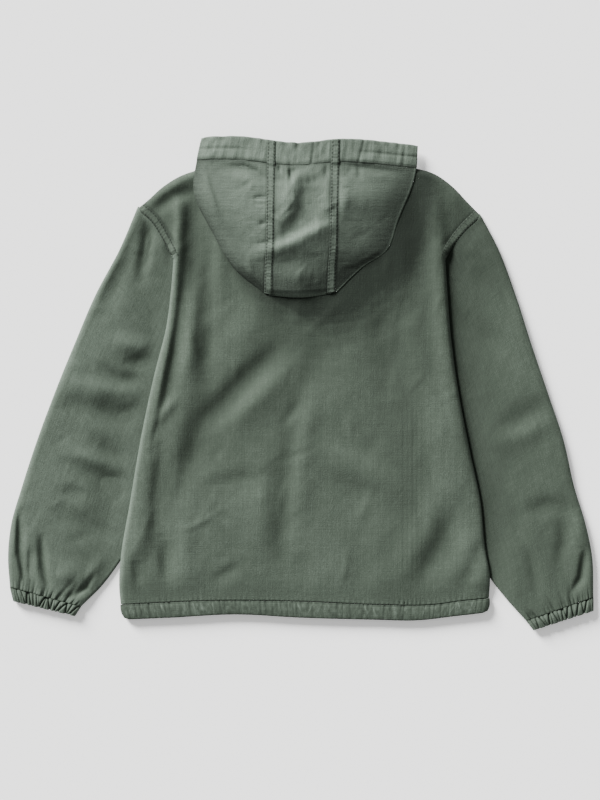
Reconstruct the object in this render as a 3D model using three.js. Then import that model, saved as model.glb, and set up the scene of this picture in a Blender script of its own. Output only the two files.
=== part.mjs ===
// Hooded pullover smock of washed cotton twill, laid flat on a table with its back up
// and its hood hanging down over the back. Millimetres. X runs to the wearer's right,
// Y from the hem to the hood, Z up from the table. Every piece is a wall of cloth.
import * as THREE from "three";

// Cloth
const wall = 1.5;
const doubledWall = 2.2;
const seamGap = 0.3;
const stripGap = 0.9;
const frontInset = 1;

// Heights above the table of the middle of a layer
const onTable = wall / 2;
const doubledOnTable = doubledWall / 2;
const sleevePressed = 3.6;
const sleeveLoft = 9.4;
const armholeLoft = 8.2;
const bodyLoft = 10.2;
const underHoodLoft = 9.6;
const hemLoft = 8.6;
const cuffLoft = 8.6;
const bodyLift = 5.0;
const seamRise = 2.3;
const hoodUnderLoft = 11.5;
const hoodUnderAtMouth = 9.0;
const hoodEdgeRise = 3.2;
const hoodLoft = 29;
const hoodLoftAtMouth = 21;

// How far from an edge the cloth takes to turn over
const sideRoll = 17;
const shoulderRoll = 13;
const armholeSlope = 55;
const neckHalfWidth = 88;
const hoodSideRoll = 30;
const hoodCrownRoll = 26;
const hoodUnderRoll = 10;

// Where heights change from one to another: over the tucked sleeve, up the armhole, below the
// shoulder, at the hood's opening, towards a cuff, and under the hood
const overSleeve = { from: 7, to: 47 };
const armholePressed = { from: 0.6, to: 0.92 };
const belowShoulder = { from: 192, to: 250 };
const atMouth = { from: 348, to: 385 };
const gathersFrom = 0.84;
const shadedByHood = { y: 255, halfWidth: 185, halfHeight: 135 };
const backFollowsFront = 0.75;

// Hem, cuffs, hood edge and seams
const hemPuckers = 48;
const hemPuckerHeight = 1.1;
const cuffPleats = 15;
const cuffPleatHeight = 1.3;
const sleeveGathers = 8;
const sleeveGatherHeight = 2.2;
const casingPuckers = 26;
const casingPuckerHeight = 0.8;
const casingShare = 0.128;
const casingUnderReach = 22;
const napeShare = 0.19;
const seamStripWidth = 12;
const seamStripThickness = 1.0;
const hoodSeamAtEdge = { left: -46, right: 53 };
const hoodSeamAtCrown = { left: -50, right: 47 };

// The share of the body's height, from the hem, at which the underarm lies
const underarmShare = 0.84;

// One side of the garment: `out` is the distance from the centre line, `up` runs to the hood.
// edge: the fold down the body's side, from hem to underarm
// armhole: the seam from underarm to shoulder point
// tuckedArmhole: where the armhole ends, hidden under the body
// sleeveOuter and sleeveInner: the sleeve's two edges, from armhole to cuff seam
const leftSide = {
  name: "left",
  sign: -1,
  edge: [
    { out: 279, up: -342 },
    { out: 281, up: -322 },
    { out: 279, up: -274 },
    { out: 265, up: -188 },
    { out: 246, up: -77 },
    { out: 226, up: 16 },
    { out: 208, up: 88 },
    { out: 200, up: 153 },
    { out: 197, up: 190 },
  ],
  armhole: [
    { out: 197, up: 190 },
    { out: 214, up: 222 },
    { out: 234, up: 252 },
    { out: 254, up: 269 },
  ],
  tuckedArmhole: { out: 163, up: 91 },
  sleeveOuter: [
    { out: 254, up: 269 },
    { out: 279, up: 210 },
    { out: 318, up: 136 },
    { out: 350, up: 61 },
    { out: 380, up: -13 },
    { out: 408, up: -88 },
    { out: 432, up: -162 },
    { out: 448, up: -218 },
    { out: 453, up: -267 },
    { out: 450, up: -315 },
  ],
  sleeveInner: [
    { out: 163, up: 91 },
    { out: 175, up: 21 },
    { out: 200, up: -72 },
    { out: 229, up: -165 },
    { out: 254, up: -232 },
    { out: 282, up: -277 },
    { out: 307, up: -311 },
    { out: 341, up: -345 },
  ],
  cuffEnd: { outer: { out: 445, up: -336 }, inner: { out: 350, up: -359 } },
  liftFades: { from: -330, to: -277 },
};
const rightSide = {
  name: "right",
  sign: 1,
  edge: [
    { out: 291, up: -332 },
    { out: 292, up: -298 },
    { out: 285, up: -257 },
    { out: 277, up: -179 },
    { out: 262, up: -109 },
    { out: 242, up: -5 },
    { out: 231, up: 78 },
    { out: 226, up: 145 },
    { out: 223, up: 191 },
  ],
  armhole: [
    { out: 223, up: 191 },
    { out: 234, up: 210 },
    { out: 254, up: 235 },
    { out: 279, up: 258 },
  ],
  tuckedArmhole: { out: 192, up: 91 },
  sleeveOuter: [
    { out: 279, up: 258 },
    { out: 304, up: 210 },
    { out: 332, up: 136 },
    { out: 356, up: 61 },
    { out: 381, up: -13 },
    { out: 406, up: -88 },
    { out: 423, up: -162 },
    { out: 440, up: -218 },
    { out: 450, up: -267 },
    { out: 452, up: -331 },
  ],
  sleeveInner: [
    { out: 192, up: 91 },
    { out: 205, up: 21 },
    { out: 226, up: -72 },
    { out: 250, up: -165 },
    { out: 271, up: -250 },
    { out: 293, up: -300 },
    { out: 315, up: -329 },
    { out: 349, up: -367 },
  ],
  cuffEnd: { outer: { out: 452, up: -351 }, inner: { out: 360, up: -381 } },
  liftFades: { from: -338, to: -302 },
};

// The shoulder line from the left shoulder point over the neck to the right one
const shoulderLine = [
  { x: -254, y: 269 },
  { x: -236, y: 284 },
  { x: -215, y: 303 },
  { x: -184, y: 322 },
  { x: -164, y: 329 },
  { x: -102, y: 344 },
  { x: 0, y: 334 },
  { x: 102, y: 344 },
  { x: 180, y: 332 },
  { x: 202, y: 326 },
  { x: 236, y: 303 },
  { x: 254, y: 284 },
  { x: 279, y: 258 },
];

// The line where the hem casing is stitched on, and the garment's lower edge
const hemSeamLine = [
  { x: -279, y: -342 },
  { x: -141, y: -336 },
  { x: -2, y: -337 },
  { x: 116, y: -342 },
  { x: 206, y: -342 },
  { x: 251, y: -336 },
  { x: 291, y: -332 },
];
const hemEdgeLine = [
  { x: -273, y: -365 },
  { x: -200, y: -362 },
  { x: -102, y: -357 },
  { x: -2, y: -362 },
  { x: 107, y: -365 },
  { x: 183, y: -366 },
  { x: 236, y: -360 },
  { x: 288, y: -354 },
];

// The hood's outline: its opening at the top, two sides and the fold at the crown
const hoodOpening = [
  { x: -153, y: 381 },
  { x: -95, y: 381 },
  { x: -2, y: 371 },
  { x: 60, y: 377 },
  { x: 180, y: 368 },
];
const hoodLeftEdge = [
  { x: -153, y: 381 },
  { x: -161, y: 343 },
  { x: -166, y: 303 },
  { x: -136, y: 233 },
  { x: -105, y: 181 },
  { x: -53, y: 137 },
];
const hoodRightEdge = [
  { x: 180, y: 368 },
  { x: 177, y: 326 },
  { x: 150, y: 253 },
  { x: 133, y: 207 },
  { x: 96, y: 181 },
  { x: 53, y: 140 },
];
const hoodCrown = [
  { x: -53, y: 137 },
  { x: 0, y: 133 },
  { x: 53, y: 140 },
];

// The largest folds of back and sleeves: from, to, half-width, and height (below 0: a trough)
const bodyFolds = [
  { x0: -191, y0: 300, x1: -195, y1: 200, width: 10, height: 2.6 },
  { x0: -175, y0: 277, x1: -180, y1: 196, width: 9, height: -2.4 },
  { x0: 212, y0: 300, x1: 224, y1: 200, width: 10, height: 2.6 },
  { x0: -157, y0: 109, x1: -157, y1: 1, width: 11, height: -2.0 },
  { x0: -33, y0: 52, x1: -192, y1: -103, width: 17, height: -2.6 },
  { x0: 19, y0: -5, x1: -12, y1: -212, width: 15, height: 2.4 },
  { x0: 30, y0: -21, x1: 30, y1: -160, width: 13, height: -2.4 },
  { x0: -28, y0: -139, x1: -28, y1: -278, width: 11, height: -2.4 },
  { x0: -146, y0: -165, x1: -64, y1: -150, width: 13, height: -2.0 },
  { x0: 257, y0: -185, x1: 189, y1: -315, width: 13, height: -2.4 },
  { x0: 236, y0: -172, x1: 168, y1: -302, width: 11, height: 1.8 },
  { x0: -219, y0: -5, x1: -237, y1: -212, width: 9, height: -2.2 },
  { x0: -219, y0: -255, x1: -219, y1: -322, width: 9, height: -1.8 },
];
const sleeveFolds = [
  { x0: -363, y0: -30, x1: -262, y1: -46, width: 13, height: -2.0 },
  { x0: -343, y0: -129, x1: -285, y1: -165, width: 13, height: -2.0 },
  { x0: 308, y0: -88, x1: 378, y1: -142, width: 13, height: -1.8 },
  { x0: 402, y0: -240, x1: 430, y1: -300, width: 11, height: -2.0 },
];
const hoodFolds = [
  { x0: -136, y0: 330, x1: -60, y1: 326, width: 8, height: -2.0 },
  { x0: -5, y0: 305, x1: 2, y1: 270, width: 13, height: -3.0 },
  { x0: -45, y0: 207, x1: 50, y1: 243, width: 10, height: 2.4 },
  { x0: -35, y0: 188, x1: 48, y1: 222, width: 10, height: -2.0 },
  { x0: 68, y0: 326, x1: 165, y1: 320, width: 8, height: -2.0 },
];

const bodyColour = 0x5d6c62;
const hoodColour = 0x86958a;
const bodyCloth = new THREE.MeshStandardMaterial({ color: bodyColour, roughness: 0.92, metalness: 0 });
const hoodCloth = new THREE.MeshStandardMaterial({ color: hoodColour, roughness: 0.9, metalness: 0 });

const mix = THREE.MathUtils.lerp;
const smooth = (from, to, value) => THREE.MathUtils.smoothstep(value, from, to);

// A quarter circle: 0 at the edge, 1 where the cloth has turned over
function roll(share) {
  const rest = 1 - THREE.MathUtils.clamp(share, 0, 1);
  return Math.sqrt(1 - rest * rest);
}

// A smooth function through values at rising knots
function spline(knots, values) {
  const last = knots.length - 1;
  const slope = (i) => (values[i + 1] - values[i]) / (knots[i + 1] - knots[i]);
  const tangents = values.map((value, i) => {
    if (i === 0) return slope(0);
    if (i === last) return slope(last - 1);
    const before = knots[i] - knots[i - 1];
    const after = knots[i + 1] - knots[i];
    return (slope(i - 1) * after + slope(i) * before) / (before + after);
  });
  return (at) => {
    const t = THREE.MathUtils.clamp(at, knots[0], knots[last]);
    let i = 0;
    while (i < last - 1 && t > knots[i + 1]) i += 1;
    const step = knots[i + 1] - knots[i];
    const s = (t - knots[i]) / step;
    const rise = s * s * (3 - 2 * s);
    const leave = s * (1 - s) * (1 - s) * step;
    const arrive = s * s * (s - 1) * step;
    return mix(values[i], values[i + 1], rise) + leave * tangents[i] + arrive * tangents[i + 1];
  };
}

// A plane curve through rows of x and y; its parameter is the share of its length
function curve(rows) {
  const lengths = [0];
  for (let i = 1; i < rows.length; i += 1) {
    lengths.push(lengths[i - 1] + Math.hypot(rows[i].x - rows[i - 1].x, rows[i].y - rows[i - 1].y));
  }
  const total = lengths[lengths.length - 1];
  const shares = lengths.map((length) => length / total);
  const x = spline(shares, rows.map((row) => row.x));
  const y = spline(shares, rows.map((row) => row.y));
  return { at: (share) => [x(share), y(share)], shares, total };
}

const place = (side, row) => ({ x: side.sign * row.out, y: row.up });
const placeAll = (side, rows) => rows.map((row) => place(side, row));

// A patch between four border curves that meet at the corners
function patch(border, s, t) {
  const low = border.low(s);
  const high = border.high(s);
  const left = border.left(t);
  const right = border.right(t);
  const corner = [border.low(0), border.low(1), border.high(0), border.high(1)];
  return [0, 1].map((k) => {
    const across = mix(low[k], high[k], t);
    const along = mix(left[k], right[k], s);
    const flat = mix(mix(corner[0][k], corner[1][k], s), mix(corner[2][k], corner[3][k], s), t);
    return across + along - flat;
  });
}

// The height that a table of folds gives at a place
function foldHeight(folds, x, y) {
  let height = 0;
  for (const fold of folds) {
    const dx = fold.x1 - fold.x0;
    const dy = fold.y1 - fold.y0;
    const length = Math.hypot(dx, dy);
    const along = ((x - fold.x0) * dx + (y - fold.y0) * dy) / (length * length);
    const nearest = THREE.MathUtils.clamp(along, 0, 1);
    const away = Math.hypot(x - fold.x0 - nearest * dx, y - fold.y0 - nearest * dy);
    height += fold.height * Math.exp(-((away / fold.width) ** 2));
  }
  return height;
}

// Curves and profiles of one side, worked out from its table
function measureSide(side) {
  const edge = curve(placeAll(side, side.edge));
  const armholeRows = [...side.armhole].reverse();
  const armhole = curve(placeAll(side, [...armholeRows, side.tuckedArmhole]));
  const underarm = armhole.shares[armholeRows.length - 1];
  const outer = curve(placeAll(side, side.sleeveOuter));
  const inner = curve(placeAll(side, side.sleeveInner));
  const edgeOut = spline(side.edge.map((row) => row.up), side.edge.map((row) => row.out));
  const footRows = [...side.sleeveInner.slice(0, -2)].reverse().concat(side.armhole);
  const footOut = (up) => {
    const next = footRows.findIndex((row) => row.up > up);
    if (next === 0) return footRows[0].out;
    if (next < 0) return footRows[footRows.length - 1].out;
    const a = footRows[next - 1];
    const b = footRows[next];
    return mix(a.out, b.out, (up - a.up) / (b.up - a.up));
  };
  return { ...side, edgeCurve: edge, armholeCurve: armhole, underarm, outer, inner, edgeOut, footOut };
}
const left = measureSide(leftSide);
const right = measureSide(rightSide);

// How far the front is lifted where a sleeve's inner part lies under it
function frontLift(x, y) {
  const side = x < 0 ? left : right;
  const inside = side.footOut(y) - Math.abs(x);
  const onSleeve = 1 - smooth(overSleeve.from, overSleeve.to, inside);
  const aboveCuff = smooth(side.liftFades.from, side.liftFades.to, y);
  const underArm = 1 - smooth(belowShoulder.from, belowShoulder.to, y);
  return bodyLift * onSleeve * aboveCuff * underArm;
}

// The height of the armhole seam: share 0 is the shoulder point
function armholeHeight(side, share) {
  const { from, to } = armholePressed;
  return mix(armholeLoft, sleevePressed, smooth(side.underarm * from, side.underarm * to, share));
}

// The border of the body, from hem to shoulder line
function bodySide(side) {
  return (v) => {
    if (v <= underarmShare) return side.edgeCurve.at(v / underarmShare);
    const above = (v - underarmShare) / (1 - underarmShare);
    return side.armholeCurve.at(side.underarm * (1 - above));
  };
}
const shoulder = curve(shoulderLine);
const hemSeam = curve(hemSeamLine);
const hemEdge = curve(hemEdgeLine);
const bodyBorder = { low: hemSeam.at, high: shoulder.at, left: bodySide(left), right: bodySide(right) };

// Heights of the back: it rolls down to the front at its sides and shoulders
function sideHeight(side, v, away, loft, x, y) {
  const folded = seamRise + frontLift(x, y);
  if (v <= underarmShare) return mix(folded, loft, roll(away / sideRoll));
  const above = (v - underarmShare) / (1 - underarmShare);
  const sewn = Math.max(armholeHeight(side, side.underarm * (1 - above)), folded);
  const turn = mix(roll(away / sideRoll), smooth(0, armholeSlope, away), smooth(0, 0.2, above));
  return mix(sewn, loft, turn);
}

function backPoint(u, v) {
  const [x, y] = patch(bodyBorder, u, v);
  const [leftX] = bodyBorder.left(v);
  const [rightX] = bodyBorder.right(v);
  const awayLeft = u * (rightX - leftX);
  const awayRight = (1 - u) * (rightX - leftX);
  const [, shoulderY] = bodyBorder.high(u);
  const [, hemY] = bodyBorder.low(u);
  const { halfWidth, halfHeight } = shadedByHood;
  const fromHood = Math.hypot(x / halfWidth, (y - shadedByHood.y) / halfHeight);
  const underHood = 1 - smooth(0.95, 1.2, fromHood);
  const besideSleeve = frontLift(x, y) * backFollowsFront;
  const free = bodyLoft + besideSleeve + foldHeight(bodyFolds, x, y);
  let loft = mix(free, underHoodLoft, underHood);
  loft = mix(hemLoft, loft, smooth(0, 55, v * (shoulderY - hemY)));
  const [side, away] = u < 0.5 ? [left, awayLeft] : [right, awayRight];
  const draped = sideHeight(side, v, away, loft, x, y);
  const rolled = mix(seamRise, draped, roll(((1 - v) * (shoulderY - hemY)) / shoulderRoll));
  const besideNeck = smooth(neckHalfWidth, neckHalfWidth + 25, Math.abs(x));
  return new THREE.Vector3(x, y, mix(draped, rolled, besideNeck));
}

// Rows of shares between two ends, close together within a few millimetres of them
function shares(length, nearStart, nearEnd, between) {
  const list = nearStart.map((away) => away / length);
  const from = nearStart[nearStart.length - 1] / length;
  const to = 1 - nearEnd[nearEnd.length - 1] / length;
  for (let i = 1; i < between; i += 1) list.push(mix(from, to, i / between));
  [...nearEnd].reverse().forEach((away) => list.push(1 - away / length));
  return list;
}

// A closed body from a grid of points on the middle of the cloth.
// A ring's columns run all the way round; a sheet has four edges.
function clothBody(grid, thickness, isRing) {
  const rows = grid.length;
  const columns = grid[0].length;
  const index = (i, j) => i * columns + ((j + columns) % columns);
  const columnBefore = (j) => (isRing ? (j + columns - 1) % columns : Math.max(j - 1, 0));
  const columnAfter = (j) => (isRing ? (j + 1) % columns : Math.min(j + 1, columns - 1));
  const outer = [];
  const inner = [];
  for (let i = 0; i < rows; i += 1) {
    for (let j = 0; j < columns; j += 1) {
      const along = grid[i][columnAfter(j)].clone().sub(grid[i][columnBefore(j)]);
      const across = grid[Math.min(i + 1, rows - 1)][j].clone().sub(grid[Math.max(i - 1, 0)][j]);
      const normal = along.cross(across).normalize().multiplyScalar(thickness / 2);
      outer.push(grid[i][j].clone().add(normal));
      inner.push(grid[i][j].clone().sub(normal));
    }
  }
  const count = rows * columns;
  const triangles = [];
  const quad = (a, b, c, d) => triangles.push(a, b, c, a, c, d);
  const lastColumn = isRing ? columns : columns - 1;
  for (let i = 0; i < rows - 1; i += 1) {
    for (let j = 0; j < lastColumn; j += 1) {
      quad(index(i, j), index(i, j + 1), index(i + 1, j + 1), index(i + 1, j));
      quad(
        count + index(i, j),
        count + index(i + 1, j),
        count + index(i + 1, j + 1),
        count + index(i, j + 1),
      );
    }
  }
  for (let j = 0; j < lastColumn; j += 1) {
    const end = rows - 1;
    quad(index(0, j), count + index(0, j), count + index(0, j + 1), index(0, j + 1));
    quad(index(end, j), index(end, j + 1), count + index(end, j + 1), count + index(end, j));
  }
  if (!isRing) {
    for (let i = 0; i < rows - 1; i += 1) {
      const end = columns - 1;
      quad(index(i, 0), index(i + 1, 0), count + index(i + 1, 0), count + index(i, 0));
      quad(index(i, end), count + index(i, end), count + index(i + 1, end), index(i + 1, end));
    }
  }
  const points = [...outer, ...inner];
  if (signedVolume(points, triangles) < 0) triangles.reverse();
  const geometry = new THREE.BufferGeometry().setFromPoints(points);
  geometry.setIndex(triangles);
  geometry.computeVertexNormals();
  return geometry;
}

function signedVolume(points, triangles) {
  let volume = 0;
  for (let i = 0; i < triangles.length; i += 3) {
    const [a, b, c] = [points[triangles[i]], points[triangles[i + 1]], points[triangles[i + 2]]];
    volume += a.dot(b.clone().cross(c)) / 6;
  }
  return volume;
}

const smock = new THREE.Group();
function addPiece(name, geometry, material) {
  const mesh = new THREE.Mesh(geometry, material);
  mesh.name = name;
  smock.add(mesh);
}

// Back: one panel from hem seam to shoulders, with armholes at both sides
const backWidth = right.edge[0].out + left.edge[0].out;
const backHeight = shoulderLine[6].y - hemSeamLine[2].y;
const nearBackEdge = [seamGap, 3, 8, 15, 25];
const backColumns = shares(backWidth, nearBackEdge, nearBackEdge, 20);
const armholeHeightInBack = backHeight * (1 - underarmShare);
const belowUnderarm = shares(backHeight * underarmShare, [seamGap, 14], [0], 16);
const aboveUnderarm = shares(armholeHeightInBack, [0], [0, 2.5, 7, 14, 24], 7);
const backRows = belowUnderarm.map((share) => share * underarmShare)
  .concat(aboveUnderarm.slice(1).map((share) => mix(underarmShare, 1, share)));
addPiece("back", clothBody(backRows.map((v) => backColumns.map((u) => backPoint(u, v))), wall), bodyCloth);

// Front: flat on the table between the sleeves, and over their tucked edges at the sides
function frontRow(v) {
  const [leftX, leftY] = bodyBorder.left(v);
  const [rightX, rightY] = bodyBorder.right(v);
  const width = rightX - leftX;
  const stops = (side, x, y) => {
    const tucked = Math.max(Math.abs(x) - side.footOut(y), 0);
    return [frontInset, Math.max(tucked * 0.5, 4)]
      .concat([6, 15, 25, 37, 52].map((beyond) => tucked + beyond));
  };
  const columns = shares(width, stops(left, leftX, leftY), stops(right, rightX, rightY), 4);
  return columns.map((u) => {
    const [x, y] = patch(bodyBorder, u, v);
    return new THREE.Vector3(x, y, onTable + frontLift(x, y));
  });
}
const frontRows = shares(backHeight * underarmShare, [seamGap], [0], 11)
  .map((share) => share * underarmShare)
  .concat(shares(armholeHeightInBack, [11], [0], 8).map((share) => mix(underarmShare, 1, share)));
addPiece("front", clothBody(frontRows.map(frontRow), wall), bodyCloth);

// Steps that are short at both ends, and steps that are short at the last one
const easeBoth = (k, n) => (1 - Math.cos((Math.PI * k) / n)) / 2;
const easeOut = (k, n) => Math.sin((Math.PI / 2) * (k / n));

// A flattened tube: columns over the top and back underneath, with both edges rolled
function tubeColumns(over, under) {
  const columns = [];
  for (let k = 0; k <= over; k += 1) columns.push({ s: easeBoth(k, over), isTop: true });
  for (let k = 1; k < under; k += 1) columns.push({ s: 1 - easeBoth(k, under), isTop: false });
  return columns;
}

// The same with every pleat's ridge and valley on a column of its own
function pleatedColumns(pleats, width, under) {
  const columns = [0, 1.5, 4].map((away) => ({ s: away / width, isTop: true }));
  for (let k = 1; k < pleats * 2; k += 1) columns.push({ s: k / (pleats * 2), isTop: true });
  [4, 1.5, 0].forEach((away) => columns.push({ s: 1 - away / width, isTop: true }));
  for (let k = 1; k < under; k += 1) columns.push({ s: 1 - easeBoth(k, under), isTop: false });
  return columns;
}

function tubeHeight(column, width, top, bottom) {
  const middle = (top + bottom) / 2;
  const away = Math.min(column.s, 1 - column.s) * width;
  const turned = roll(away / Math.max(top - bottom, 1));
  return mix(middle, column.isTop ? top : bottom, turned);
}

// Sleeves: flattened tubes from armhole to cuff, pressed flat where the body lies on them
function sleevePoint(side, column, w) {
  const ends = { outer: side.outer.at(1), inner: side.inner.at(1) };
  const border = {
    low: side.armholeCurve.at,
    high: (s) => [mix(ends.outer[0], ends.inner[0], s), mix(ends.outer[1], ends.inner[1], s)],
    left: side.outer.at,
    right: side.inner.at,
  };
  const [x, y] = patch(border, column.s, w);
  const outerAt = side.outer.at(w);
  const innerAt = side.inner.at(w);
  const width = Math.hypot(outerAt[0] - innerAt[0], outerAt[1] - innerAt[1]);
  const free = smooth(2, 50, Math.abs(x) - side.edgeOut(y));
  let top = mix(sleevePressed, sleeveLoft + foldHeight(sleeveFolds, x, y), free);
  top = mix(armholeHeight(side, column.s), top, smooth(0, 0.1, w));
  const gathered = smooth(gathersFrom, 1, w);
  const wave = Math.sin(Math.PI * sleeveGathers * column.s) ** 2;
  top = mix(top, cuffLoft + sleeveGatherHeight * (wave - 0.5), gathered);
  return new THREE.Vector3(x, y, tubeHeight(column, width, top, onTable));
}

const sleeveRows = [0.0009, 0.06, 0.15, 0.25, 0.36, 0.47, 0.58, 0.69, 0.79, 0.88, 0.95, 1];
const sleeveColumns = tubeColumns(26, 7);
function sleeve(side) {
  const grid = sleeveRows.map((w) => sleeveColumns.map((column) => sleevePoint(side, column, w)));
  addPiece(`sleeve_${side.name}`, clothBody(grid, wall, true), bodyCloth);
}

// Cuffs: short elastic tubes with pleats all over their upper side
function cuff(side) {
  const seam = { outer: side.outer.at(1), inner: side.inner.at(1) };
  const outerEnd = place(side, side.cuffEnd.outer);
  const innerEnd = place(side, side.cuffEnd.inner);
  const width = Math.hypot(outerEnd.x - innerEnd.x, outerEnd.y - innerEnd.y);
  const columns = pleatedColumns(cuffPleats, width, 6);
  const grid = [0.025, 0.5, 1].map((w) => columns.map((column) => {
    const { s } = column;
    const x = mix(mix(seam.outer[0], seam.inner[0], s), mix(outerEnd.x, innerEnd.x, s), w);
    const y = mix(mix(seam.outer[1], seam.inner[1], s), mix(outerEnd.y, innerEnd.y, s), w);
    const pleat = Math.sin(Math.PI * cuffPleats * s) ** 2 - 0.5;
    const top = cuffLoft + cuffPleatHeight * pleat;
    return new THREE.Vector3(x, y, tubeHeight(column, width, top, doubledOnTable));
  }));
  addPiece(`cuff_${side.name}`, clothBody(grid, doubledWall, true), bodyCloth);
}

[left, right].forEach((side) => {
  sleeve(side);
  cuff(side);
});

// Hem casing: a doubled band all round the lower edge, puckered on its upper side
function hemPoint(column, w) {
  const seam = hemSeam.at(column.s);
  const end = hemEdge.at(column.s);
  const pucker = Math.sin(Math.PI * hemPuckers * column.s) ** 2 - 0.5;
  const top = hemLoft + hemPuckerHeight * pucker;
  const z = tubeHeight(column, hemEdge.total, top, doubledOnTable);
  return new THREE.Vector3(mix(seam[0], end[0], w), mix(seam[1], end[1], w), z);
}
const hemColumns = pleatedColumns(hemPuckers, hemEdge.total, 14);
const hemRows = [0.02, 0.5, 1];
const hemGrid = hemRows.map((w) => hemColumns.map((column) => hemPoint(column, w)));
addPiece("hem_casing", clothBody(hemGrid, doubledWall, true), bodyCloth);

// Hood: a flattened bag, open towards the top, with an upper and an under layer.
// u runs from its left edge to its right one, v from the opening to the crown.
const hoodBorder = {
  low: curve(hoodOpening).at,
  high: curve(hoodCrown).at,
  left: curve(hoodLeftEdge).at,
  right: curve(hoodRightEdge).at,
};
function hoodPoint(u, v, isUpper) {
  const [x, y] = patch(hoodBorder, u, v);
  const [leftX] = hoodBorder.left(v);
  const [rightX] = hoodBorder.right(v);
  const [, mouthY] = hoodBorder.low(u);
  const [, crownY] = hoodBorder.high(u);
  const fromSide = Math.min(u, 1 - u) * (rightX - leftX);
  const fromCrown = (1 - v) * (mouthY - crownY);
  const under = mix(hoodUnderLoft, hoodUnderAtMouth, smooth(atMouth.from, atMouth.to, y));
  const edge = under + hoodEdgeRise;
  if (!isUpper) {
    const turned = roll(fromSide / hoodUnderRoll) * roll(fromCrown / hoodUnderRoll);
    return new THREE.Vector3(x, y, mix(edge, under, turned));
  }
  const loft = mix(hoodLoftAtMouth, hoodLoft, smooth(0, 0.4, v)) + foldHeight(hoodFolds, x, y);
  const turned = roll(fromSide / hoodSideRoll) * roll(fromCrown / hoodCrownRoll);
  return new THREE.Vector3(x, y, mix(edge, loft, turned));
}

// The share u of a hood seam at v, moved sideways by some millimetres
function hoodSeamShare(which, v, moved) {
  const x = mix(hoodSeamAtEdge[which], hoodSeamAtCrown[which], v) + moved;
  const [leftX] = hoodBorder.left(v);
  const [rightX] = hoodBorder.right(v);
  return (x - leftX) / (rightX - leftX);
}

const hoodDepth = hoodOpening[2].y - hoodCrown[1].y;
const panelStart = casingShare + seamGap / hoodDepth;
const sideEnd = 1 - 2.5 / hoodDepth;
const hoodRows = [];
for (let i = 0; i <= 13; i += 1) hoodRows.push(mix(panelStart, sideEnd, easeOut(i, 13)));

// A side panel turns round the hood's edge and runs on underneath to its seam;
// near the opening it stops short, because the neck hole is there
const outwardSteps = [0.84, 0.68, 0.53, 0.39, 0.26, 0.16, 0.08, 0.03];
const inwardSteps = [0, 0.03, 0.09, 0.3, 0.6, 1];
function hoodSide(which) {
  const outwards = which === "left" ? -1 : 1;
  const at = (away) => (which === "left" ? away : 1 - away);
  const grid = hoodRows.map((v) => {
    const seamAway = at(hoodSeamShare(which, v, (outwards * seamGap) / 2));
    const stripAway = at(hoodSeamShare(which, v, (outwards * seamStripWidth) / 2));
    const reach = mix(0.25, 1, smooth(0.16, 0.34, v)) * seamAway;
    const aways = [seamAway, stripAway, ...outwardSteps.map((step) => step * stripAway)];
    const upper = aways.map((away) => hoodPoint(at(away), v, true));
    const under = inwardSteps.map((step) => hoodPoint(at(step * reach), v, false));
    return [...upper, ...under];
  });
  addPiece(`hood_${which}`, clothBody(grid, wall), hoodCloth);
}
hoodSide("left");
hoodSide("right");

// The centre panel runs over the crown fold and back underneath to the nape
function centreRow(v, isUpper) {
  const strip = seamStripWidth / 2;
  const from = hoodSeamShare("left", v, strip);
  const to = hoodSeamShare("right", v, -strip);
  const columns = [0, 0.2, 0.4, 0.6, 0.8, 1].map((share) => mix(from, to, share));
  columns.unshift(hoodSeamShare("left", v, seamGap / 2));
  columns.push(hoodSeamShare("right", v, -seamGap / 2));
  return columns.map((u) => hoodPoint(u, v, isUpper));
}
const underRows = [7, 6, 5, 4, 3, 2, 1, 0].map((i) => mix(napeShare, 1, easeOut(i, 8)));
const centreGrid = [
  ...[...hoodRows, 1].map((v) => centreRow(v, true)),
  ...underRows.map((v) => centreRow(v, false)),
];
addPiece("hood_centre", clothBody(centreGrid, wall), hoodCloth);

// Hood casing: the opening's doubled edge, puckered by its cord on the upper side
function casingRow(v) {
  const width = hoodOpening[4].x - hoodOpening[0].x;
  const pucker = (u) => casingPuckerHeight * Math.sin(Math.PI * casingPuckers * u) ** 2;
  const columns = pleatedColumns(casingPuckers, width, 0).map((column) => column.s);
  const upper = columns.map((u) => {
    const point = hoodPoint(u, v, true);
    point.z += pucker(u);
    return point;
  });
  const under = [casingUnderReach, 8, 2].map((away) => away / width);
  const start = under.map((u) => hoodPoint(u, v, false));
  const end = [...under].reverse().map((u) => hoodPoint(1 - u, v, false));
  return [...start, ...upper, ...end];
}
const casingGrid = [0, casingShare / 2, casingShare].map(casingRow);
addPiece("hood_casing", clothBody(casingGrid, doubledWall), hoodCloth);

// A flat strip over a seam, made from the points of the panel under it and moved out
function seamStrip(name, rows, columns, pointAt, material) {
  const nudge = 0.002;
  const lifted = wall / 2 + stripGap + seamStripThickness / 2;
  const grid = rows.map((v) => columns.map((column) => {
    const point = pointAt(column, v);
    const along = pointAt(column, v + nudge).sub(pointAt(column, v - nudge));
    const across = pointAt(column + nudge, v).sub(pointAt(column - nudge, v));
    const normal = along.cross(across).normalize();
    if (normal.z < 0) normal.negate();
    return point.addScaledVector(normal, lifted);
  }));
  addPiece(name, clothBody(grid, seamStripThickness), material);
}

// Felled seams of the hood, from its casing to the crown
["left", "right"].forEach((which) => {
  const onHood = (column, v) => hoodPoint(hoodSeamShare(which, v, column * seamStripWidth), v, true);
  seamStrip(`hood_seam_${which}`, hoodRows, [-0.5, 0, 0.5], onHood, hoodCloth);
});

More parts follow.
